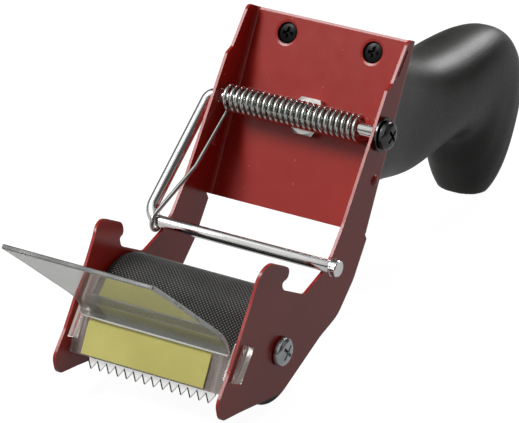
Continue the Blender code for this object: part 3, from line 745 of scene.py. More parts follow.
def clear_plastic(name, tint, rough, clearness):
    """Clear plastic that lets light through to the floor."""
    skin = Skin(name)
    skin.set(
        Base_Color=skin.tones(skin.noise(40, 3), tint, tuple(c * 0.97 for c in tint)),
        Roughness=skin.span(skin.noise(150, 3), rough * 0.7, rough * 1.4),
        Transmission_Weight=clearness,
        IOR=1.49,
    )
    skin.bump(skin.noise(120, 2), strength=0.03, distance=0.0002)
    path = skin.node("LightPath")
    clear = skin.node("BsdfTransparent", Color=(0.9, 0.9, 0.89, 1.0))
    mix = skin.node("MixShader")
    shaders = (path.outputs["Is Shadow Ray"], skin.shader.outputs["BSDF"], clear.outputs["BSDF"])
    for socket, given in zip(mix.inputs, shaders):
        skin.tree.links.new(given, socket)
    end = skin.tree.nodes["Material Output"]
    skin.tree.links.new(mix.outputs["Shader"], end.inputs["Surface"])
    return skin.material


def yellow_film():
    """Bare yellow film with a light satin coat."""
    skin = Skin("yellow_film")
    skin.set(
        Base_Color=skin.tones(skin.noise(90, 4), (0.73, 0.67, 0.19), (0.81, 0.75, 0.23)),
        Roughness=skin.span(skin.noise(500, 3), 0.35, 0.45),
    )
    skin.bump(skin.noise(300, 2), strength=0.06, distance=0.0001)
    return skin.material


def plate_edge(side):
    """The free edge of one side plate, from the web's foot to its top."""
    x = side * PLATE_IN
    corners = [(spot(x, BEND_INSIDE, 0), 0)]
    for rows, height in ((LOWER_EDGE_SHARES, -NOSE_DEPTH), (UPPER_EDGE_SHARES, WEB_HEIGHT)):
        for up_share, out_share, radius in rows:
            corners.append((spot(x, PLATE_REACH * out_share, height * up_share), radius))
    corners.append((spot(x, BEND_INSIDE, WEB_HEIGHT), 0))
    return rounded(corners)


def height_of(point):
    """How far a place lies above the web's foot."""
    return (point - ORIGIN).dot(UP)


def flared(point, side):
    """A thumb's point, tilted outwards above the crease in an even bend."""
    rise = height_of(point) - THUMB_CREASE
    if rise <= -THUMB_BEND / 2:
        return point
    bent = min(rise + THUMB_BEND / 2, THUMB_BEND)
    across = 0.0
    climb = 0.0
    for i in range(FLARE_STEPS):
        angle = THUMB_FLARE * (i + 0.5) / FLARE_STEPS * bent / THUMB_BEND
        across += math.sin(angle) * bent / FLARE_STEPS
        climb += math.cos(angle) * bent / FLARE_STEPS
    straight = max(rise - THUMB_BEND / 2, 0)
    across += math.sin(THUMB_FLARE) * straight
    climb += math.cos(THUMB_FLARE) * straight
    foot = point - UP * (rise + THUMB_BEND / 2)
    return foot + UP * climb + ACROSS * (side * across)


def plate_faces(bm, side, foot, head):
    """One side plate: its nose and web side, and its thumb in bent strips."""
    chain = plate_edge(side)[1:-1]
    middle = PLATE_REACH * THUMB_FROM_SHARE
    low = THUMB_CREASE - THUMB_BEND / 2

    def is_thumb(p):
        return (p - ORIGIN).dot(OUT) > middle and height_of(p) > low

    first = next(i for i, p in enumerate(chain) if is_thumb(p))
    last = max(i for i, p in enumerate(chain) if is_thumb(p))

    def crossing(a, b):
        share = (low - height_of(a)) / (height_of(b) - height_of(a))
        return a.lerp(b, share)

    up_cross = bm.verts.new(crossing(chain[first - 1], chain[first]))
    down_cross = bm.verts.new(crossing(chain[last], chain[last + 1]))
    thumb = [bm.verts.new(p) for p in chain[first : last + 1]]
    before = [bm.verts.new(p) for p in chain[:first]]
    after = [bm.verts.new(p) for p in chain[last + 1 :]]
    bm.faces.new([foot, *before, up_cross, down_cross, *after, head])
    tip = bm.faces.new([up_cross, *thumb, down_cross])
    geom = [tip, *tip.edges, *tip.verts]
    known = set(bm.verts) - {up_cross, down_cross, *thumb}
    for strip in range(1, THUMB_STRIPS + 1):
        level = spot(0, 0, low + THUMB_BEND * strip / THUMB_STRIPS)
        cut = bmesh.ops.bisect_plane(bm, geom=geom, plane_co=level, plane_no=UP)
        geom = cut["geom"]
    for vert in bm.verts:
        if vert not in known:
            vert.co = flared(vert.co, side)


def painted_frame(skin):
    """The sheet's inner face, folded into web and plates, then thickened outwards."""
    bm = bmesh.new()
    fold = []
    for side, _ in SIDES:
        quarter = []
        for step in range(FOLD_STEPS + 1):
            turn = math.pi / 2 * step / FOLD_STEPS
            across = PLATE_IN - BEND_INSIDE * (1 - math.cos(turn))
            quarter.append((side * across, BEND_INSIDE * (1 - math.sin(turn))))
        fold.extend(quarter if side < 0 else reversed(quarter))
    foot = [bm.verts.new(spot(x, out, 0)) for x, out in fold]
    head = [bm.verts.new(spot(x, out, WEB_HEIGHT)) for x, out in fold]
    for i in range(len(fold) - 1):
        bm.faces.new((foot[i], foot[i + 1], head[i + 1], head[i]))
    plate_faces(bm, -1, foot[0], head[0])
    plate_faces(bm, 1, foot[-1], head[-1])
    mesh = mesh_from(bm, "painted_frame")
    if mesh.polygons[FOLD_STEPS].normal.dot(OUT) < 0:
        mesh.flip_normals()
    sheet = put(mesh, "dispenser", skin, ("folded_frame",))
    thicken = sheet.modifiers.new("sheet", "SOLIDIFY")
    thicken.thickness = SHEET
    thicken.offset = -1
    thicken.use_even_offset = True
    apply(sheet)
    cut_frame(sheet)
    sheet.data.set_sharp_from_angle(angle=FRAME_SHARP)
    ease_edges(sheet, SHEET_EDGE, segments=4)


def cut_frame(sheet):
    """The frame's holes, tab slots and grooves, and the roll along its top."""
    screw_hole = GRIP_SCREW_HEAD_RADIUS + SEAT_GAP
    screw_profile = (
        (CUT_OVERRUN, screw_hole + HOLE_RIM_WIDTH),
        (0, screw_hole + HOLE_RIM_WIDTH),
        (-HOLE_RIM_DEPTH, screw_hole),
        (-SHEET - CUT_OVERRUN, screw_hole),
    )
    for side, _ in SIDES:
        near = side * (PLATE_IN - CUT_OVERRUN)
        far = side * (PLATE_OUT + CUT_OVERRUN)
        holes = ((PIVOT_OUT, PIVOT_UP, WIRE_RADIUS), (ROLLER_OUT, ROLLER_UP, SCREW_RADIUS))
        for out, up, radius in holes:
            profile = ((near, radius + SEAT_GAP), (far, radius + SEAT_GAP))
            carve(sheet, turned_x("shaft_hole", profile, out, up, SHAFT_HOLE_SIDES))
        low = (near, HOLDER_OUT - BLOCK_BACK - SEAT_GAP, TAB_TOP - TAB_HEIGHT - SEAT_GAP)
        high = (far, HOLDER_FRONT + SEAT_GAP, TAB_TOP + SEAT_GAP)
        carve(sheet, block("tab_slot", low, high, TAB_SLANT))
        x = side * GRIP_SCREW_SPREAD / 2
        carve(sheet, turned_out("screw_hole", screw_profile, x, GRIP_SCREW_UP, HEAD_SIDES))
        carve(sheet, edge_groove(side))
    bolt_hole = BOLT_RADIUS + SEAT_GAP
    profile = ((CUT_OVERRUN, bolt_hole), (-SHEET - CUT_OVERRUN, bolt_hole))
    carve(sheet, turned_out("bolt_hole", profile, 0, PIVOT_UP, HOLE_SIDES))
    carve(sheet, rolled_top())


def rolled_top():
    """The cutter of the shallow roll that shearing left along the web's top edge."""
    half = PLATE_IN - BEND_INSIDE
    low = WEB_HEIGHT - TOP_ROLL_WIDTH
    high = WEB_HEIGHT + TOP_ROLL_WIDTH
    section = ((0, low), (-TOP_ROLL_DEPTH * 2, high), (CUT_OVERRUN, high), (CUT_OVERRUN, low))
    return prism("rolled_top", section, (-half, half))


def edge_groove(side):
    """The cutter of the narrow groove behind the top of a plate's front edge."""
    foot, head = UPPER_EDGE_SHARES[-2:]
    low = Vector((PLATE_REACH * foot[1], WEB_HEIGHT * foot[0]))
    high = Vector((PLATE_REACH * head[1], WEB_HEIGHT * head[0]))
    along = (high - low).normalized()
    back = Vector((-along.y, along.x))
    low += along * GROOVE_FROM_ENDS + back * GROOVE_SET_BACK
    high += along * -GROOVE_FROM_ENDS + back * GROOVE_SET_BACK
    section = (low, low + back * GROOVE_WIDTH, high + back * GROOVE_WIDTH, high)
    ends = (side * (PLATE_OUT - GROOVE_DEPTH), side * (PLATE_OUT + CUT_OVERRUN))
    return prism("edge_groove", section, ends)


def plate_pips(skin):
    """A small pressed pip on each plate beside the web."""
    for face, name in ((-PLATE_IN, "left"), (PLATE_OUT, "right")):
        profile = [(face - SEAT_GAP, PIP_RADIUS)]
        for step in range(PIP_STEPS + 1):
            turn = math.pi / 2 * step / PIP_STEPS
            radius = max(PIP_RADIUS * math.cos(turn), PIP_POINT)
            profile.append((face + PIP_HEIGHT * math.sin(turn), radius))
        mesh = turned_x(f"pressed_pip_{name}", profile, PIP_OUT, PIP_UP, PIP_SIDES)
        put(mesh, "dispenser", skin, (), sharp=60)


def grip_ring(along, low, high, width, square):
    """One section of the grip, a rounded box, from its shares."""
    points = []
    middle = GRIP_HEIGHT * (low + high) / 2
    half = GRIP_HEIGHT * (high - low) / 2
    for i in range(GRIP_SIDES):
        turn = FULL_TURN * (i + 0.5) / GRIP_SIDES
        c, s = math.cos(turn), math.sin(turn)
        reach = (abs(c) ** square + abs(s) ** square) ** (-1 / square)
        across = c * reach * GRIP_WIDTH * width / 2
        place = spot(across, -SHEET - SEAT_GAP - along, middle + s * reach * half)
        place.z = max(place.z, 0)
        points.append(place)
    return points


def grip_rings():
    """The grip's sections, crowded towards the pommel and closed by its crown."""
    rings = []
    for i in range(GRIP_RINGS + 1):
        place = 1 - (1 - i / GRIP_RINGS) ** GRIP_CROWDING
        shares = smooth_row(GRIP_SECTION_SHARES, place)
        rings.append(grip_ring(GRIP_LENGTH * place, *shares))
    low, high, width, square = GRIP_SECTION_SHARES[-1][1:]
    middle = (low + high) / 2
    for step in range(1, CROWN_STEPS + 1):
        turn = math.pi / 2 * step / CROWN_STEPS
        shrink = max(math.cos(turn), CROWN_POINT_SHARE)
        half = (high - low) / 2 * shrink
        along = GRIP_LENGTH + GRIP_CROWN * math.sin(turn)
        rings.append(grip_ring(along, middle - half, middle + half, width * shrink, square))
    return rings


def moulded_grip(skin):
    """The pistol grip, swollen to its pommel, with its bore and screw pilots."""
    mesh = mesh_of("moulded_grip", grip_rings())
    grip = put(mesh, "dispenser", skin, ("handle_grip",), sharp=50)
    face = -SHEET - SEAT_GAP

    def drill(x, up, radius, depth, sides):
        profile = ((face + CUT_OVERRUN, radius), (face - depth, radius))
        carve(grip, turned_out("drill", profile, x, up, sides))

    drill(0, PIVOT_UP, INSERT_BORE, INSERT_DEPTH, HOLE_SIDES)
    shank = GRIP_SCREW_RADIUS + SEAT_GAP
    head = GRIP_SCREW_HEAD_RADIUS + SEAT_GAP
    for side, _ in SIDES:
        x = side * GRIP_SCREW_SPREAD / 2
        drill(x, GRIP_SCREW_UP, shank, GRIP_SCREW_LENGTH + SEAT_GAP, PIN_SIDES)
        drill(x, GRIP_SCREW_UP, head, GRIP_SCREW_SINK, HOLE_SIDES)


def hex_bolt(skin):
    """A hexagon bolt whose head has the usual chamfer round its corners."""
    top = SEAT_GAP + BOLT_HEAD_HEIGHT
    flat_edge = BOLT_FLATS / 2 * BOLT_TOP_SHARE
    hexagon = []
    for i in range(BOLT_SIDES):
        turn = FULL_TURN * i / BOLT_SIDES
        hexagon.append(BOLT_FLATS / 2 / math.cos(turn % (math.pi / 3) - math.pi / 6))
    falls = [max(radius - flat_edge, 0) * math.tan(BOLT_CHAMFER) for radius in hexagon]

    def level(out, radii):
        return ring(spot(0, out, PIVOT_UP), ACROSS, UP, radii)

    rings = [
        level(top, [flat_edge * BOLT_MIDDLE_SHARE] * BOLT_SIDES),
        level(top, [flat_edge] * BOLT_SIDES),
        [point - OUT * fall for point, fall in zip(level(top, hexagon), falls)],
        level(SEAT_GAP, hexagon),
        level(SEAT_GAP, [BOLT_RADIUS] * BOLT_SIDES),
        level(SEAT_GAP - BOLT_LENGTH, [BOLT_RADIUS] * BOLT_SIDES),
    ]
    mesh = mesh_of("hex_bolt", rings)
    put(mesh, "dispenser", skin, ("handle_bolt",), sharp=20)


def cross_cutter(centre, away, across, arm, depth):
    """A tapered cross-shaped socket's cutter at a head's top."""
    other = away.cross(across)
    thin = CROSS_WIDTH / 2
    outline = []
    for c, s in ((1, 0), (0, 1), (-1, 0), (0, -1)):
        for a, b in ((arm, -thin), (arm, thin), (thin, thin)):
            outline.append(across * (a * c - b * s) + other * (a * s + b * c))
    rings = []
    for lift, share in ((CUT_OVERRUN, CROSS_MOUTH_SHARE), (0, 1.0), (-depth, CROSS_FOOT_SHARE)):
        rings.append([centre + away * lift + p * share for p in outline])
    return mesh_of("socket", rings)


def sunk_screws(skin):
    """The two dark screws in the web's top corners."""
    under = -SHEET - GRIP_SCREW_SINK
    top = under + GRIP_SCREW_HEAD_HEIGHT
    profile = [(top - drop, GRIP_SCREW_HEAD_RADIUS * r) for drop, r in SUNK_HEAD_EASE]
    profile.append((under, GRIP_SCREW_HEAD_RADIUS))
    profile.append((under, GRIP_SCREW_RADIUS))
    profile.append((-SHEET - SEAT_GAP - GRIP_SCREW_LENGTH, GRIP_SCREW_RADIUS))
    arm = GRIP_SCREW_HEAD_RADIUS * CROSS_ARM_SHARE
    for side, name in SIDES:
        x = side * GRIP_SCREW_SPREAD / 2
        mesh = turned_out(f"sunk_screw_{name}", profile, x, GRIP_SCREW_UP, HOLE_SIDES)
        screw = put(mesh, "dispenser", skin, (f"handle_screw_{name}",), sharp=25)
        place = spot(x, top, GRIP_SCREW_UP)
        carve(screw, cross_cutter(place, OUT, ACROSS, arm, CROSS_DEPTH / 2))


def pan_screw(name, side, seat, shank_radius, depth, out, up, body, skin, turn):
    """A cross-head pan screw whose head seats at x = seat on one side."""
    profile = [(side * (seat - depth), shank_radius), (side * seat, shank_radius)]
    for rise, radius in PAN_HEAD_SHARES:
        profile.append((side * (seat + SCREW_HEAD_HEIGHT * rise), SCREW_HEAD_RADIUS * radius))
    mesh = turned_x(f"{name}_fine", profile, out, up, HEAD_SIDES)
    screw = put(mesh, body, skin, (name,), sharp=25)
    place = spot(side * (seat + SCREW_HEAD_HEIGHT), out, up)
    across = OUT * math.cos(turn) + UP * math.sin(turn)
    arm = SCREW_HEAD_RADIUS * CROSS_ARM_SHARE
    carve(screw, cross_cutter(place, ACROSS * side, across, arm, CROSS_DEPTH))


def bar_place():
    """The crossbar's place at rest: on the ledge of the plates' front edge."""
    foot, top = [
        Vector((PLATE_REACH * out_share, -NOSE_DEPTH * up_share))
        for up_share, out_share, _ in LOWER_EDGE_SHARES[-2:]
    ]
    along = (top - foot).normalized()
    away = Vector((along.y, -along.x))
    return top.lerp(foot, LEDGE_REST_SHARE) + away * (WIRE_RADIUS + SEAT_GAP)


def bail_cap(skin, floor, out, up):
    """The crossbar's end cap: a cup with a narrow flange round its mouth."""
    inside = WIRE_RADIUS + SEAT_GAP
    outside = inside + CAP_WALL
    flange = outside + CAP_FLANGE
    mouth = floor + CAP_FLOOR - CAP_LENGTH
    profile = [(floor, CAP_HOLLOW_POINT), (floor, inside), (mouth, inside)]
    for along, drop in CAP_FLANGE_EASE:
        profile.append((mouth + along, flange - drop))
    profile.append((mouth + CAP_FLANGE_LENGTH, outside))
    for back, drop in CAP_END_EASE:
        profile.append((floor + CAP_FLOOR - back, outside - drop))
    mesh = turned_x("bail_cap", profile, out, up, HOLE_SIDES)
    put(mesh, "bail", skin, ("bail_end_cap",), sharp=25)


def bail(bright, dark):
    """The bent wire, its end cap, the pivot's screw and washer."""
    bar_out, bar_up = bar_place()
    shaft_end = PLATE_OUT + SEAT_GAP
    arm_top = shaft_end + SHAFT_BEND
    bar_end = PLATE_OUT + BAR_OVERHANG
    corners = [
        (spot(shaft_end, PIVOT_OUT, PIVOT_UP), 0),
        (spot(-arm_top, PIVOT_OUT, PIVOT_UP), SHAFT_BEND),
        (spot(-arm_top - BAIL_SPLAY, bar_out, bar_up), BAR_BEND),
        (spot(bar_end, bar_out, bar_up), 0),
    ]
    mesh = tube("plated_bail", rounded(corners), WIRE_RADIUS, WIRE_SIDES, WIRE_TIP)
    wire = put(mesh, "bail", bright, ("bail_wire",), sharp=50)
    bore = PIVOT_SCREW_RADIUS + SEAT_GAP
    profile = ((shaft_end + CUT_OVERRUN, bore), (shaft_end - SCREW_DEPTH, bore))
    carve(wire, turned_x("shaft_bore", profile, PIVOT_OUT, PIVOT_UP, PIN_SIDES))
    bail_cap(bright, bar_end + SEAT_GAP, bar_out, bar_up)
    washer_in = shaft_end + SEAT_GAP
    washer_out = washer_in + WASHER_THICKNESS
    rim = eased(washer_in, washer_out, WASHER_RADIUS, WASHER_EASE)
    profile = ((washer_in, bore), *rim, (washer_out, bore))
    mesh = turned_x("flat_washer", profile, PIVOT_OUT, PIVOT_UP, HEAD_SIDES, looped=True)
    put(mesh, "bail", dark, ("pivot_washer",), sharp=25)
    seat = washer_out + SEAT_GAP
    depth = seat - shaft_end + SCREW_DEPTH - SEAT_GAP
    place = (PIVOT_OUT, PIVOT_UP, "bail")
    pan_screw("pivot_screw", 1, seat, PIVOT_SCREW_RADIUS, depth, *place, dark, PIVOT_SCREW_TURN)


def springs(skin):
    """The long coil, anchored on the web, and the leg that moves with the bail."""
    hook_radius = WIRE_RADIUS + SEAT_GAP + SPRING_WIRE_RADIUS
    hub = Vector((PIVOT_OUT, PIVOT_UP))
    crossbar = bar_place()
    down = (crossbar - hub).normalized()
    front = Vector((-down.y, down.x))
    tilt = math.asin((COIL_RADIUS + hook_radius) / (crossbar - hub).length)
    normal = front * math.cos(tilt) - down * math.sin(tilt)
    arrive = math.atan2(normal.y, normal.x)
    leave = arrive + math.pi
    first_x = -PLATE_IN + COIL_SET_IN + SEAT_GAP + SPRING_WIRE_RADIUS + COIL_PITCH
    left = first_x + SEAT_GAP + COIL_PITCH * COIL_END_APART / FULL_TURN
    last_turn = -math.pi / 2
    wound = FULL_TURN * COIL_CURLS + (leave - COIL_END_APART - last_turn) % FULL_TURN
    count = round(CURL_POINTS * wound / FULL_TURN)
    points = []
    for i in range(count + 1):
        turned = wound * i / count
        x = left + COIL_PITCH * turned / FULL_TURN
        points.append(turned_point(x, hub, COIL_RADIUS, last_turn + wound - turned))
    end = points[-1]
    tail = end - OUT * ((end - ORIGIN).dot(OUT) - SEAT_GAP)
    points.extend([end - OUT * 2 * SPRING_WIRE_RADIUS, tail])
    mesh = tube("wound_spring", points, SPRING_WIRE_RADIUS, SPRING_SIDES, SPRING_TIP)
    put(mesh, "dispenser", skin, ("torsion_spring",), sharp=50)

    hook_x = -PLATE_OUT - 2 * SEAT_GAP - SPRING_WIRE_RADIUS
    leg = []
    for i in range(CURL_POINTS + 1):
        turn = leave - FULL_TURN * (CURL_POINTS - i) / CURL_POINTS
        x = first_x - i * COIL_PITCH / CURL_POINTS
        leg.append(turned_point(x, hub, COIL_RADIUS, turn))
    over_bar = crossbar + normal * hook_radius
    crossing = (hub - normal * COIL_RADIUS).lerp(over_bar, LEG_INSIDE_SHARE)
    leg.append(spot(leg[-1].x - ORIGIN.x, *crossing))
    for i in range(CURL_POINTS + 1):
        turn = arrive - HOOK_TURN * i / CURL_POINTS
        leg.append(turned_point(hook_x, crossbar, hook_radius, turn))
    mesh = tube("sprung_leg", leg, SPRING_WIRE_RADIUS, SPRING_SIDES, SPRING_TIP)
    put(mesh, "bail", skin, ("spring_leg",), sharp=50)


def knurled_sleeve(skin):
    """The rubber sleeve with a real diamond knurl: points and crossings by turns."""
    sides = 2 * round(FULL_TURN * ROLLER_RADIUS / KNURL_PITCH)
    start = -ROLLER_HALF + ROLLER_EDGE * 2
    count = round(-2 * start / (KNURL_PITCH / 2))
    rim = ROLLER_RADIUS - KNURL_DEPTH
    bm = bmesh.new()

    def row_of(x, radii):
        points = ring(spot(x, ROLLER_OUT, ROLLER_UP), OUT, UP, radii)
        return [bm.verts.new(point) for point in points]

    end = [(ROLLER_HALF, ROLLER_RADIUS - SLEEVE_WALL)]
    for back, drop in SLEEVE_EASE_SHARES:
        end.append((ROLLER_HALF - ROLLER_EDGE * back, rim - ROLLER_EDGE * drop))
    rows = [row_of(-x, [radius] * sides) for x, radius in end]
    first = len(rows)
    for j in range(count + 1):
        radii = [ROLLER_RADIUS if (i + j) % 2 else rim for i in range(sides)]
        if j in (0, count):
            radii = [rim] * sides
        rows.append(row_of(start - 2 * start * j / count, radii))
    rows.extend(row_of(x, [radius] * sides) for x, radius in reversed(end))
    for number, (a, b) in enumerate(zip(rows, rows[1:] + rows[:1])):
        j = number - first
        for i in range(sides):
            k = (i + 1) % sides
            if not 0 <= j < count:
                bm.faces.new((a[i], a[k], b[k], b[i]))
            elif (i + j) % 2 == 0:
                bm.faces.new((a[i], a[k], b[k]))
                bm.faces.new((a[i], b[k], b[i]))
            else:
                bm.faces.new((a[i], a[k], b[i]))
                bm.faces.new((a[k], b[k], b[i]))
    mesh = mesh_from(bm, "knurled_sleeve")
    put(mesh, "roller", skin, ("roller_sleeve",), sharp=12)


def roller_screws(skin):
    """The two screws of the roller's axle."""
    seat = PLATE_OUT + SEAT_GAP
    length = seat - (PLATE_IN - SEAT_GAP) + SCREW_DEPTH
    place = (ROLLER_OUT, ROLLER_UP, "dispenser")
    for side, name in SIDES:
        part = f"axle_screw_{name}"
        pan_screw(part, side, seat, SCREW_RADIUS, length, *place, skin, AXLE_SCREW_TURN)


def serrated_blade(skin, ground):
    """The steel strip with its ground teeth and two stud holes; the facets along the teeth are
    painted dark as painted shade.
    """
    half = BLADE_WIDTH / 2
    top = -HOLDER_DROP - SEAT_GAP
    foot = top - BLADE_HEIGHT
    teeth = round(BLADE_WIDTH / TOOTH_PITCH)
    pitch = BLADE_WIDTH / teeth
    outline = [(-half, top), (-half, foot)]
    for i in range(teeth):
        outline.append((-half + pitch * (i + 0.5), foot - TOOTH_HEIGHT))
        outline.append((-half + pitch * (i + 1), foot))
    outline.append((half, top))
    faces = (BLADE_OUT, BLADE_OUT + BLADE_THICKNESS)
    mesh = mesh_of("serrated_blade", [[spot(x, out, up) for x, up in outline] for out in faces])
    mesh.materials.append(skin)
    mesh.materials.append(ground)
    bm = bmesh.new()
    bm.from_mesh(mesh)
    front = max(bm.faces, key=lambda face: face.calc_center_median().dot(OUT))
    rim = list(front.verts)
    inset = bmesh.ops.inset_region(bm, faces=[front], thickness=GROUND_WIDTH, use_even_offset=True)
    # Painted shade: the inset facets along the teeth get the near-black steel, which stands in for
    # the shade and dark reflection along the tooth edges.
    for face in inset["faces"]:
        face.material_index = 1
    for vert in rim:
        vert.co -= OUT * GROUND_DEPTH
    bm.to_mesh(mesh)
    bm.free()
    blade = put(mesh, "dispenser", None, ("blade",), sharp=20)
    hole = STUD_RADIUS + SEAT_GAP
    profile = ((BLADE_OUT - SEAT_GAP, hole), (HOLDER_OUT, hole))
    for side, _ in SIDES:
        carve(blade, turned_out("stud_hole", profile, side * half / 2, STUD_UP, PIN_SIDES))


def clear_holder(skin):
    """The clear bar with its end blocks, tabs and studs."""
    block_half = PLATE_IN - SEAT_GAP
    low = (-block_half, HOLDER_OUT, -HOLDER_DROP - HOLDER_HEIGHT)
    high = (block_half, HOLDER_FRONT, -HOLDER_DROP)
    mesh = block("clear_bar", low, high)
    holder = put(mesh, "dispenser", skin, ("blade_holder",))
    for side, _ in SIDES:
        low = (side * (block_half - END_BLOCK), HOLDER_OUT - BLOCK_BACK, TAB_TOP - TAB_HEIGHT)
        high = (side * (PLATE_OUT + TAB_STAND), HOLDER_FRONT, TAB_TOP)
        carve(holder, block("tab", low, high, TAB_SLANT), "UNION")
    ease_edges(holder, HOLDER_EASE)
    profile = ((BLADE_OUT - SEAT_GAP, STUD_RADIUS), (HOLDER_OUT + STUD_ROOT, STUD_RADIUS))
    for side, _ in SIDES:
        stud = turned_out("stud", profile, side * BLADE_WIDTH / 4, STUD_UP, PIN_SIDES)
        carve(holder, stud, "UNION")


def plain_label(skin):
    """The bare yellow strip on the bar."""
    top = -HOLDER_DROP - LABEL_DROP
    out = HOLDER_FRONT + SEAT_GAP
    low = (-LABEL_WIDTH / 2 - LABEL_SHIFT, out, top - LABEL_HEIGHT)
    high = (LABEL_WIDTH / 2 - LABEL_SHIFT, out + LABEL_THICKNESS, top)
    mesh = block("plain_strip", low, high)
    strip = put(mesh, "dispenser", skin, ("holder_label",))
    ease_edges(strip, LABEL_EASE, segments=2)


def bowed_flap(clear, shaded_end, trimmed):
    """The bowed clear flap, a strip whose free end is painted nearly black as shade, with pale
    trimmed sides.
    """
    rows = []
    reach = 0.0
    last = Vector((0, 0))
    for out, up in FLAP_LINE_SHARES:
        here = Vector((FLAP_LENGTH * out, FLAP_LENGTH * up))
        reach += (here - last).length
        last = here
        rows.append((reach, here.x, here.y))
    line = []
    for i in range(FLAP_STEPS + 1):
        x, y = smooth_row(rows, reach * i / FLAP_STEPS)
        line.append(Vector((FLAP_OUT + x, FLAP_UP + y)))
    lower, upper = [], []
    for i, place in enumerate(line):
        along = (line[min(i + 1, FLAP_STEPS)] - line[max(i - 1, 0)]).normalized()
        across = Vector((-along.y, along.x)) * FLAP_THICKNESS / 2
        lower.append(place - across)
        upper.insert(0, place + across)
    half = FLAP_WIDTH / 2
    mesh = prism("bowed_flap", lower + upper, (-half, half))
    strip = put(mesh, "flap", clear, ("wiper_flap",), sharp=40)
    mesh.materials.append(shaded_end)
    mesh.materials.append(trimmed)
    # Painted shade: the free end's face gets the nearly black plastic, standing in for the shade
    # seen in the end's thickness.
    end = max(mesh.polygons, key=lambda face: face.center.dot(OUT))
    end.material_index = 1
    for face in mesh.polygons:
        if abs(face.normal.x) > SIDE_FACING:
            face.material_index = 2
    ease_edges(strip, FLAP_EASE, angle=50, flat=False)


def hinge_bead(skin):
    """The flap's rolled root, a thin bright bead along its hinge."""
    profile = eased(-FLAP_WIDTH / 2, FLAP_WIDTH / 2, BEAD_RADIUS, BEAD_EASE)
    shift = BEAD_RADIUS / 2
    mesh = turned_x("hinge_bead", profile, FLAP_OUT + shift, FLAP_UP - shift, PIN_SIDES)
    put(mesh, "flap", skin, (), sharp=40)


def dress_inner_nodes(steel, plastic, brass):
    """Finishes for the CAD pieces that show as they are."""
    finishes = {
        "handle_insert": brass,
        "roller_core": plastic,
        "roller_bush_left": plastic,
        "roller_bush_right": plastic,
        "roller_axle": steel,
    }
    for node, skin in finishes.items():
        mesh = frame["nodes"][node].data
        mesh.materials.clear()
        mesh.materials.append(skin)


def background_share(tree, reflected):
    """1 for the camera and through clear plastic, less in reflections, else 0."""
    rays = add_node(tree, "LightPath").outputs
    direct = worked_out(tree, "MAXIMUM", rays["Is Camera Ray"], rays["Is Transmission Ray"])
    glossy = worked_out(tree, "MULTIPLY", rays["Is Glossy Ray"], reflected)
    return worked_out(tree, "MAXIMUM", direct, glossy)


def pale_floor():
    """A plain pale floor that keeps the object's shadow."""
    mesh = bpy.data.meshes.new("floor")
    signs = ((-1, -1), (1, -1), (1, 1), (-1, 1))
    corners = [(FLOOR_HALF * x, FLOOR_HALF * y, -FLOOR_DROP) for x, y in signs]
    mesh.from_pydata(corners, [], [(0, 1, 2, 3)])
    floor = placed("floor", mesh)
    skin = Skin("pale_floor")
    skin.set(Base_Color=FLOOR_COLOUR, Roughness=0.9, Specular_IOR_Level=0.0)
    tree = skin.tree
    strength = worked_out(tree, "MULTIPLY", background_share(tree, FLOOR_MIRRORED), FLOOR_GLOW)
    glow = skin.node("Emission", Color=WHITE, Strength=strength)
    add = skin.node("AddShader")
    tree.links.new(skin.shader.outputs["BSDF"], add.inputs[0])
    tree.links.new(glow.outputs["Emission"], add.inputs[1])
    tree.links.new(add.outputs["Shader"], tree.nodes["Material Output"].inputs["Surface"])
    mesh.materials.append(skin.material)


def studio_world():
    """White for the camera, a bright front and a dark back in reflections, else dim."""
    world = bpy.data.worlds.new("studio")
    bpy.context.scene.world = world
    world.use_nodes = True
    tree = world.node_tree
    towards = add_node(tree, "VectorMath")
    towards.operation = "DOT_PRODUCT"
    fill(tree, towards.inputs[0], add_node(tree, "TexCoord").outputs["Generated"])
    fill(tree, towards.inputs[1], BRIGHT_TOWARDS)
    fall = add_node(tree, "MapRange", Value=towards.outputs["Value"], **BRIGHT_FALL)
    share = background_share(tree, fall.outputs["Result"])
    back = tree.nodes["Background"].inputs
    fill(tree, back["Color"], WHITE)
    fill(tree, back["Strength"], worked_out(tree, "MAXIMUM", share, WORLD_FILL))


def lamp(name, place, size, power):
    """A rectangular soft box aimed at the frame."""
    data = bpy.data.lights.new(name, "AREA")
    data.shape = "RECTANGLE"
    data.size, data.size_y = size
    data.energy = power
    made = placed(name, data)
    made.location = place
    away = spot(*LAMP_TARGET) - Vector(place)
    made.rotation_euler = away.to_track_quat("-Z", "Y").to_euler()


def camera():
    """The photograph's view."""
    data = bpy.data.cameras.new("camera")
    data.sensor_width = SENSOR_WIDTH
    data.lens = FOCAL_PIXELS / PHOTO_WIDTH * SENSOR_WIDTH
    data.clip_start, data.clip_end = CAMERA_CLIP
    made = placed("camera", data)
    made.location = spot(*CAMERA_PLACE)
    made.rotation_euler = [math.radians(turn) for turn in CAMERA_TURN]
    bpy.context.scene.camera = made


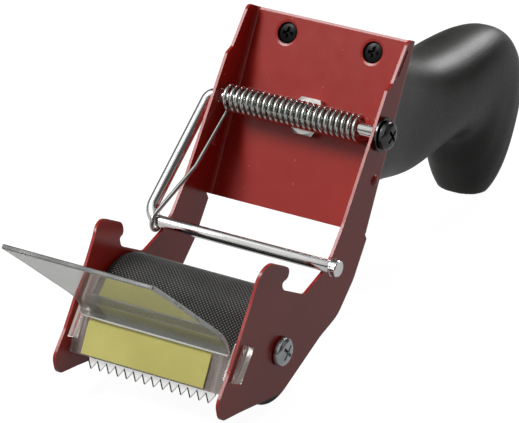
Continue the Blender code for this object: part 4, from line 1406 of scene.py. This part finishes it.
def main():
    """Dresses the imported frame."""
    camera()
    red = red_paint()
    chrome = bright_plate("bright_wire", (0.78, 0.78, 0.77), (0.86, 0.86, 0.85), 0.07)
    dark = bright_plate("dark_plate", (0.05, 0.05, 0.052), (0.09, 0.09, 0.092), 0.2)
    zinc = bright_plate("zinc_plate", (0.36, 0.37, 0.38), (0.46, 0.47, 0.48), 0.2)
    black = bright_plate("black_plate", (0.008, 0.008, 0.008), (0.016, 0.016, 0.016), 0.3)
    wire = brushed("spring_wire", (0.44, 0.45, 0.43), (0.56, 0.57, 0.54), 0.2, (1, 0.2, 0.2))
    bolt = brushed("bolt_steel", (0.58, 0.55, 0.53), (0.7, 0.67, 0.65), 0.2, (1, 1, 1))
    edge = brushed("blade_steel", (0.93, 0.93, 0.91), (0.98, 0.98, 0.96), 0.3, (1, 0.1, 0.1))
    # The near-black steel of the tooth facets is painted shade along the blade's teeth.
    ground = brushed("ground_facet_shade_steel", (0.05, 0.05, 0.05), (0.12, 0.12, 0.12), 0.3, (1, 1, 1))
    axle = brushed("axle_steel", (0.65, 0.65, 0.63), (0.8, 0.8, 0.78), 0.25, (0.1, 1, 1))
    brass = brushed("brass_insert", (0.55, 0.4, 0.18), (0.65, 0.5, 0.25), 0.3, (1, 1, 1))
    bar = clear_plastic("holder_plastic", (0.62, 0.56, 0.53), 0.12, 0.68)
    clear = clear_plastic("flap_plastic", (0.54, 0.55, 0.52), 0.05, 0.65)
    # The nearly black plastic for the flap's free end is painted shade.
    shaded_end = clear_plastic("shaded_end_plastic", (0.05, 0.055, 0.05), 0.3, 0.3)
    trimmed = clear_plastic("trimmed_plastic", (0.86, 0.87, 0.84), 0.3, 0.4)
    painted_frame(red)
    plate_pips(red)
    moulded_grip(grip_plastic())
    hex_bolt(bolt)
    sunk_screws(black)
    bail(chrome, dark)
    springs(wire)
    knurled_sleeve(roller_rubber())
    roller_screws(zinc)
    serrated_blade(edge, ground)
    clear_holder(bar)
    plain_label(yellow_film())
    bowed_flap(clear, shaded_end, trimmed)
    hinge_bead(chrome)
    dress_inner_nodes(axle, core_plastic(), brass)
    pale_floor()
    studio_world()
    for name, place, size, power in LAMPS:
        lamp(name, place, size, power)
    bpy.context.scene.view_settings.view_transform = "Standard"


main()
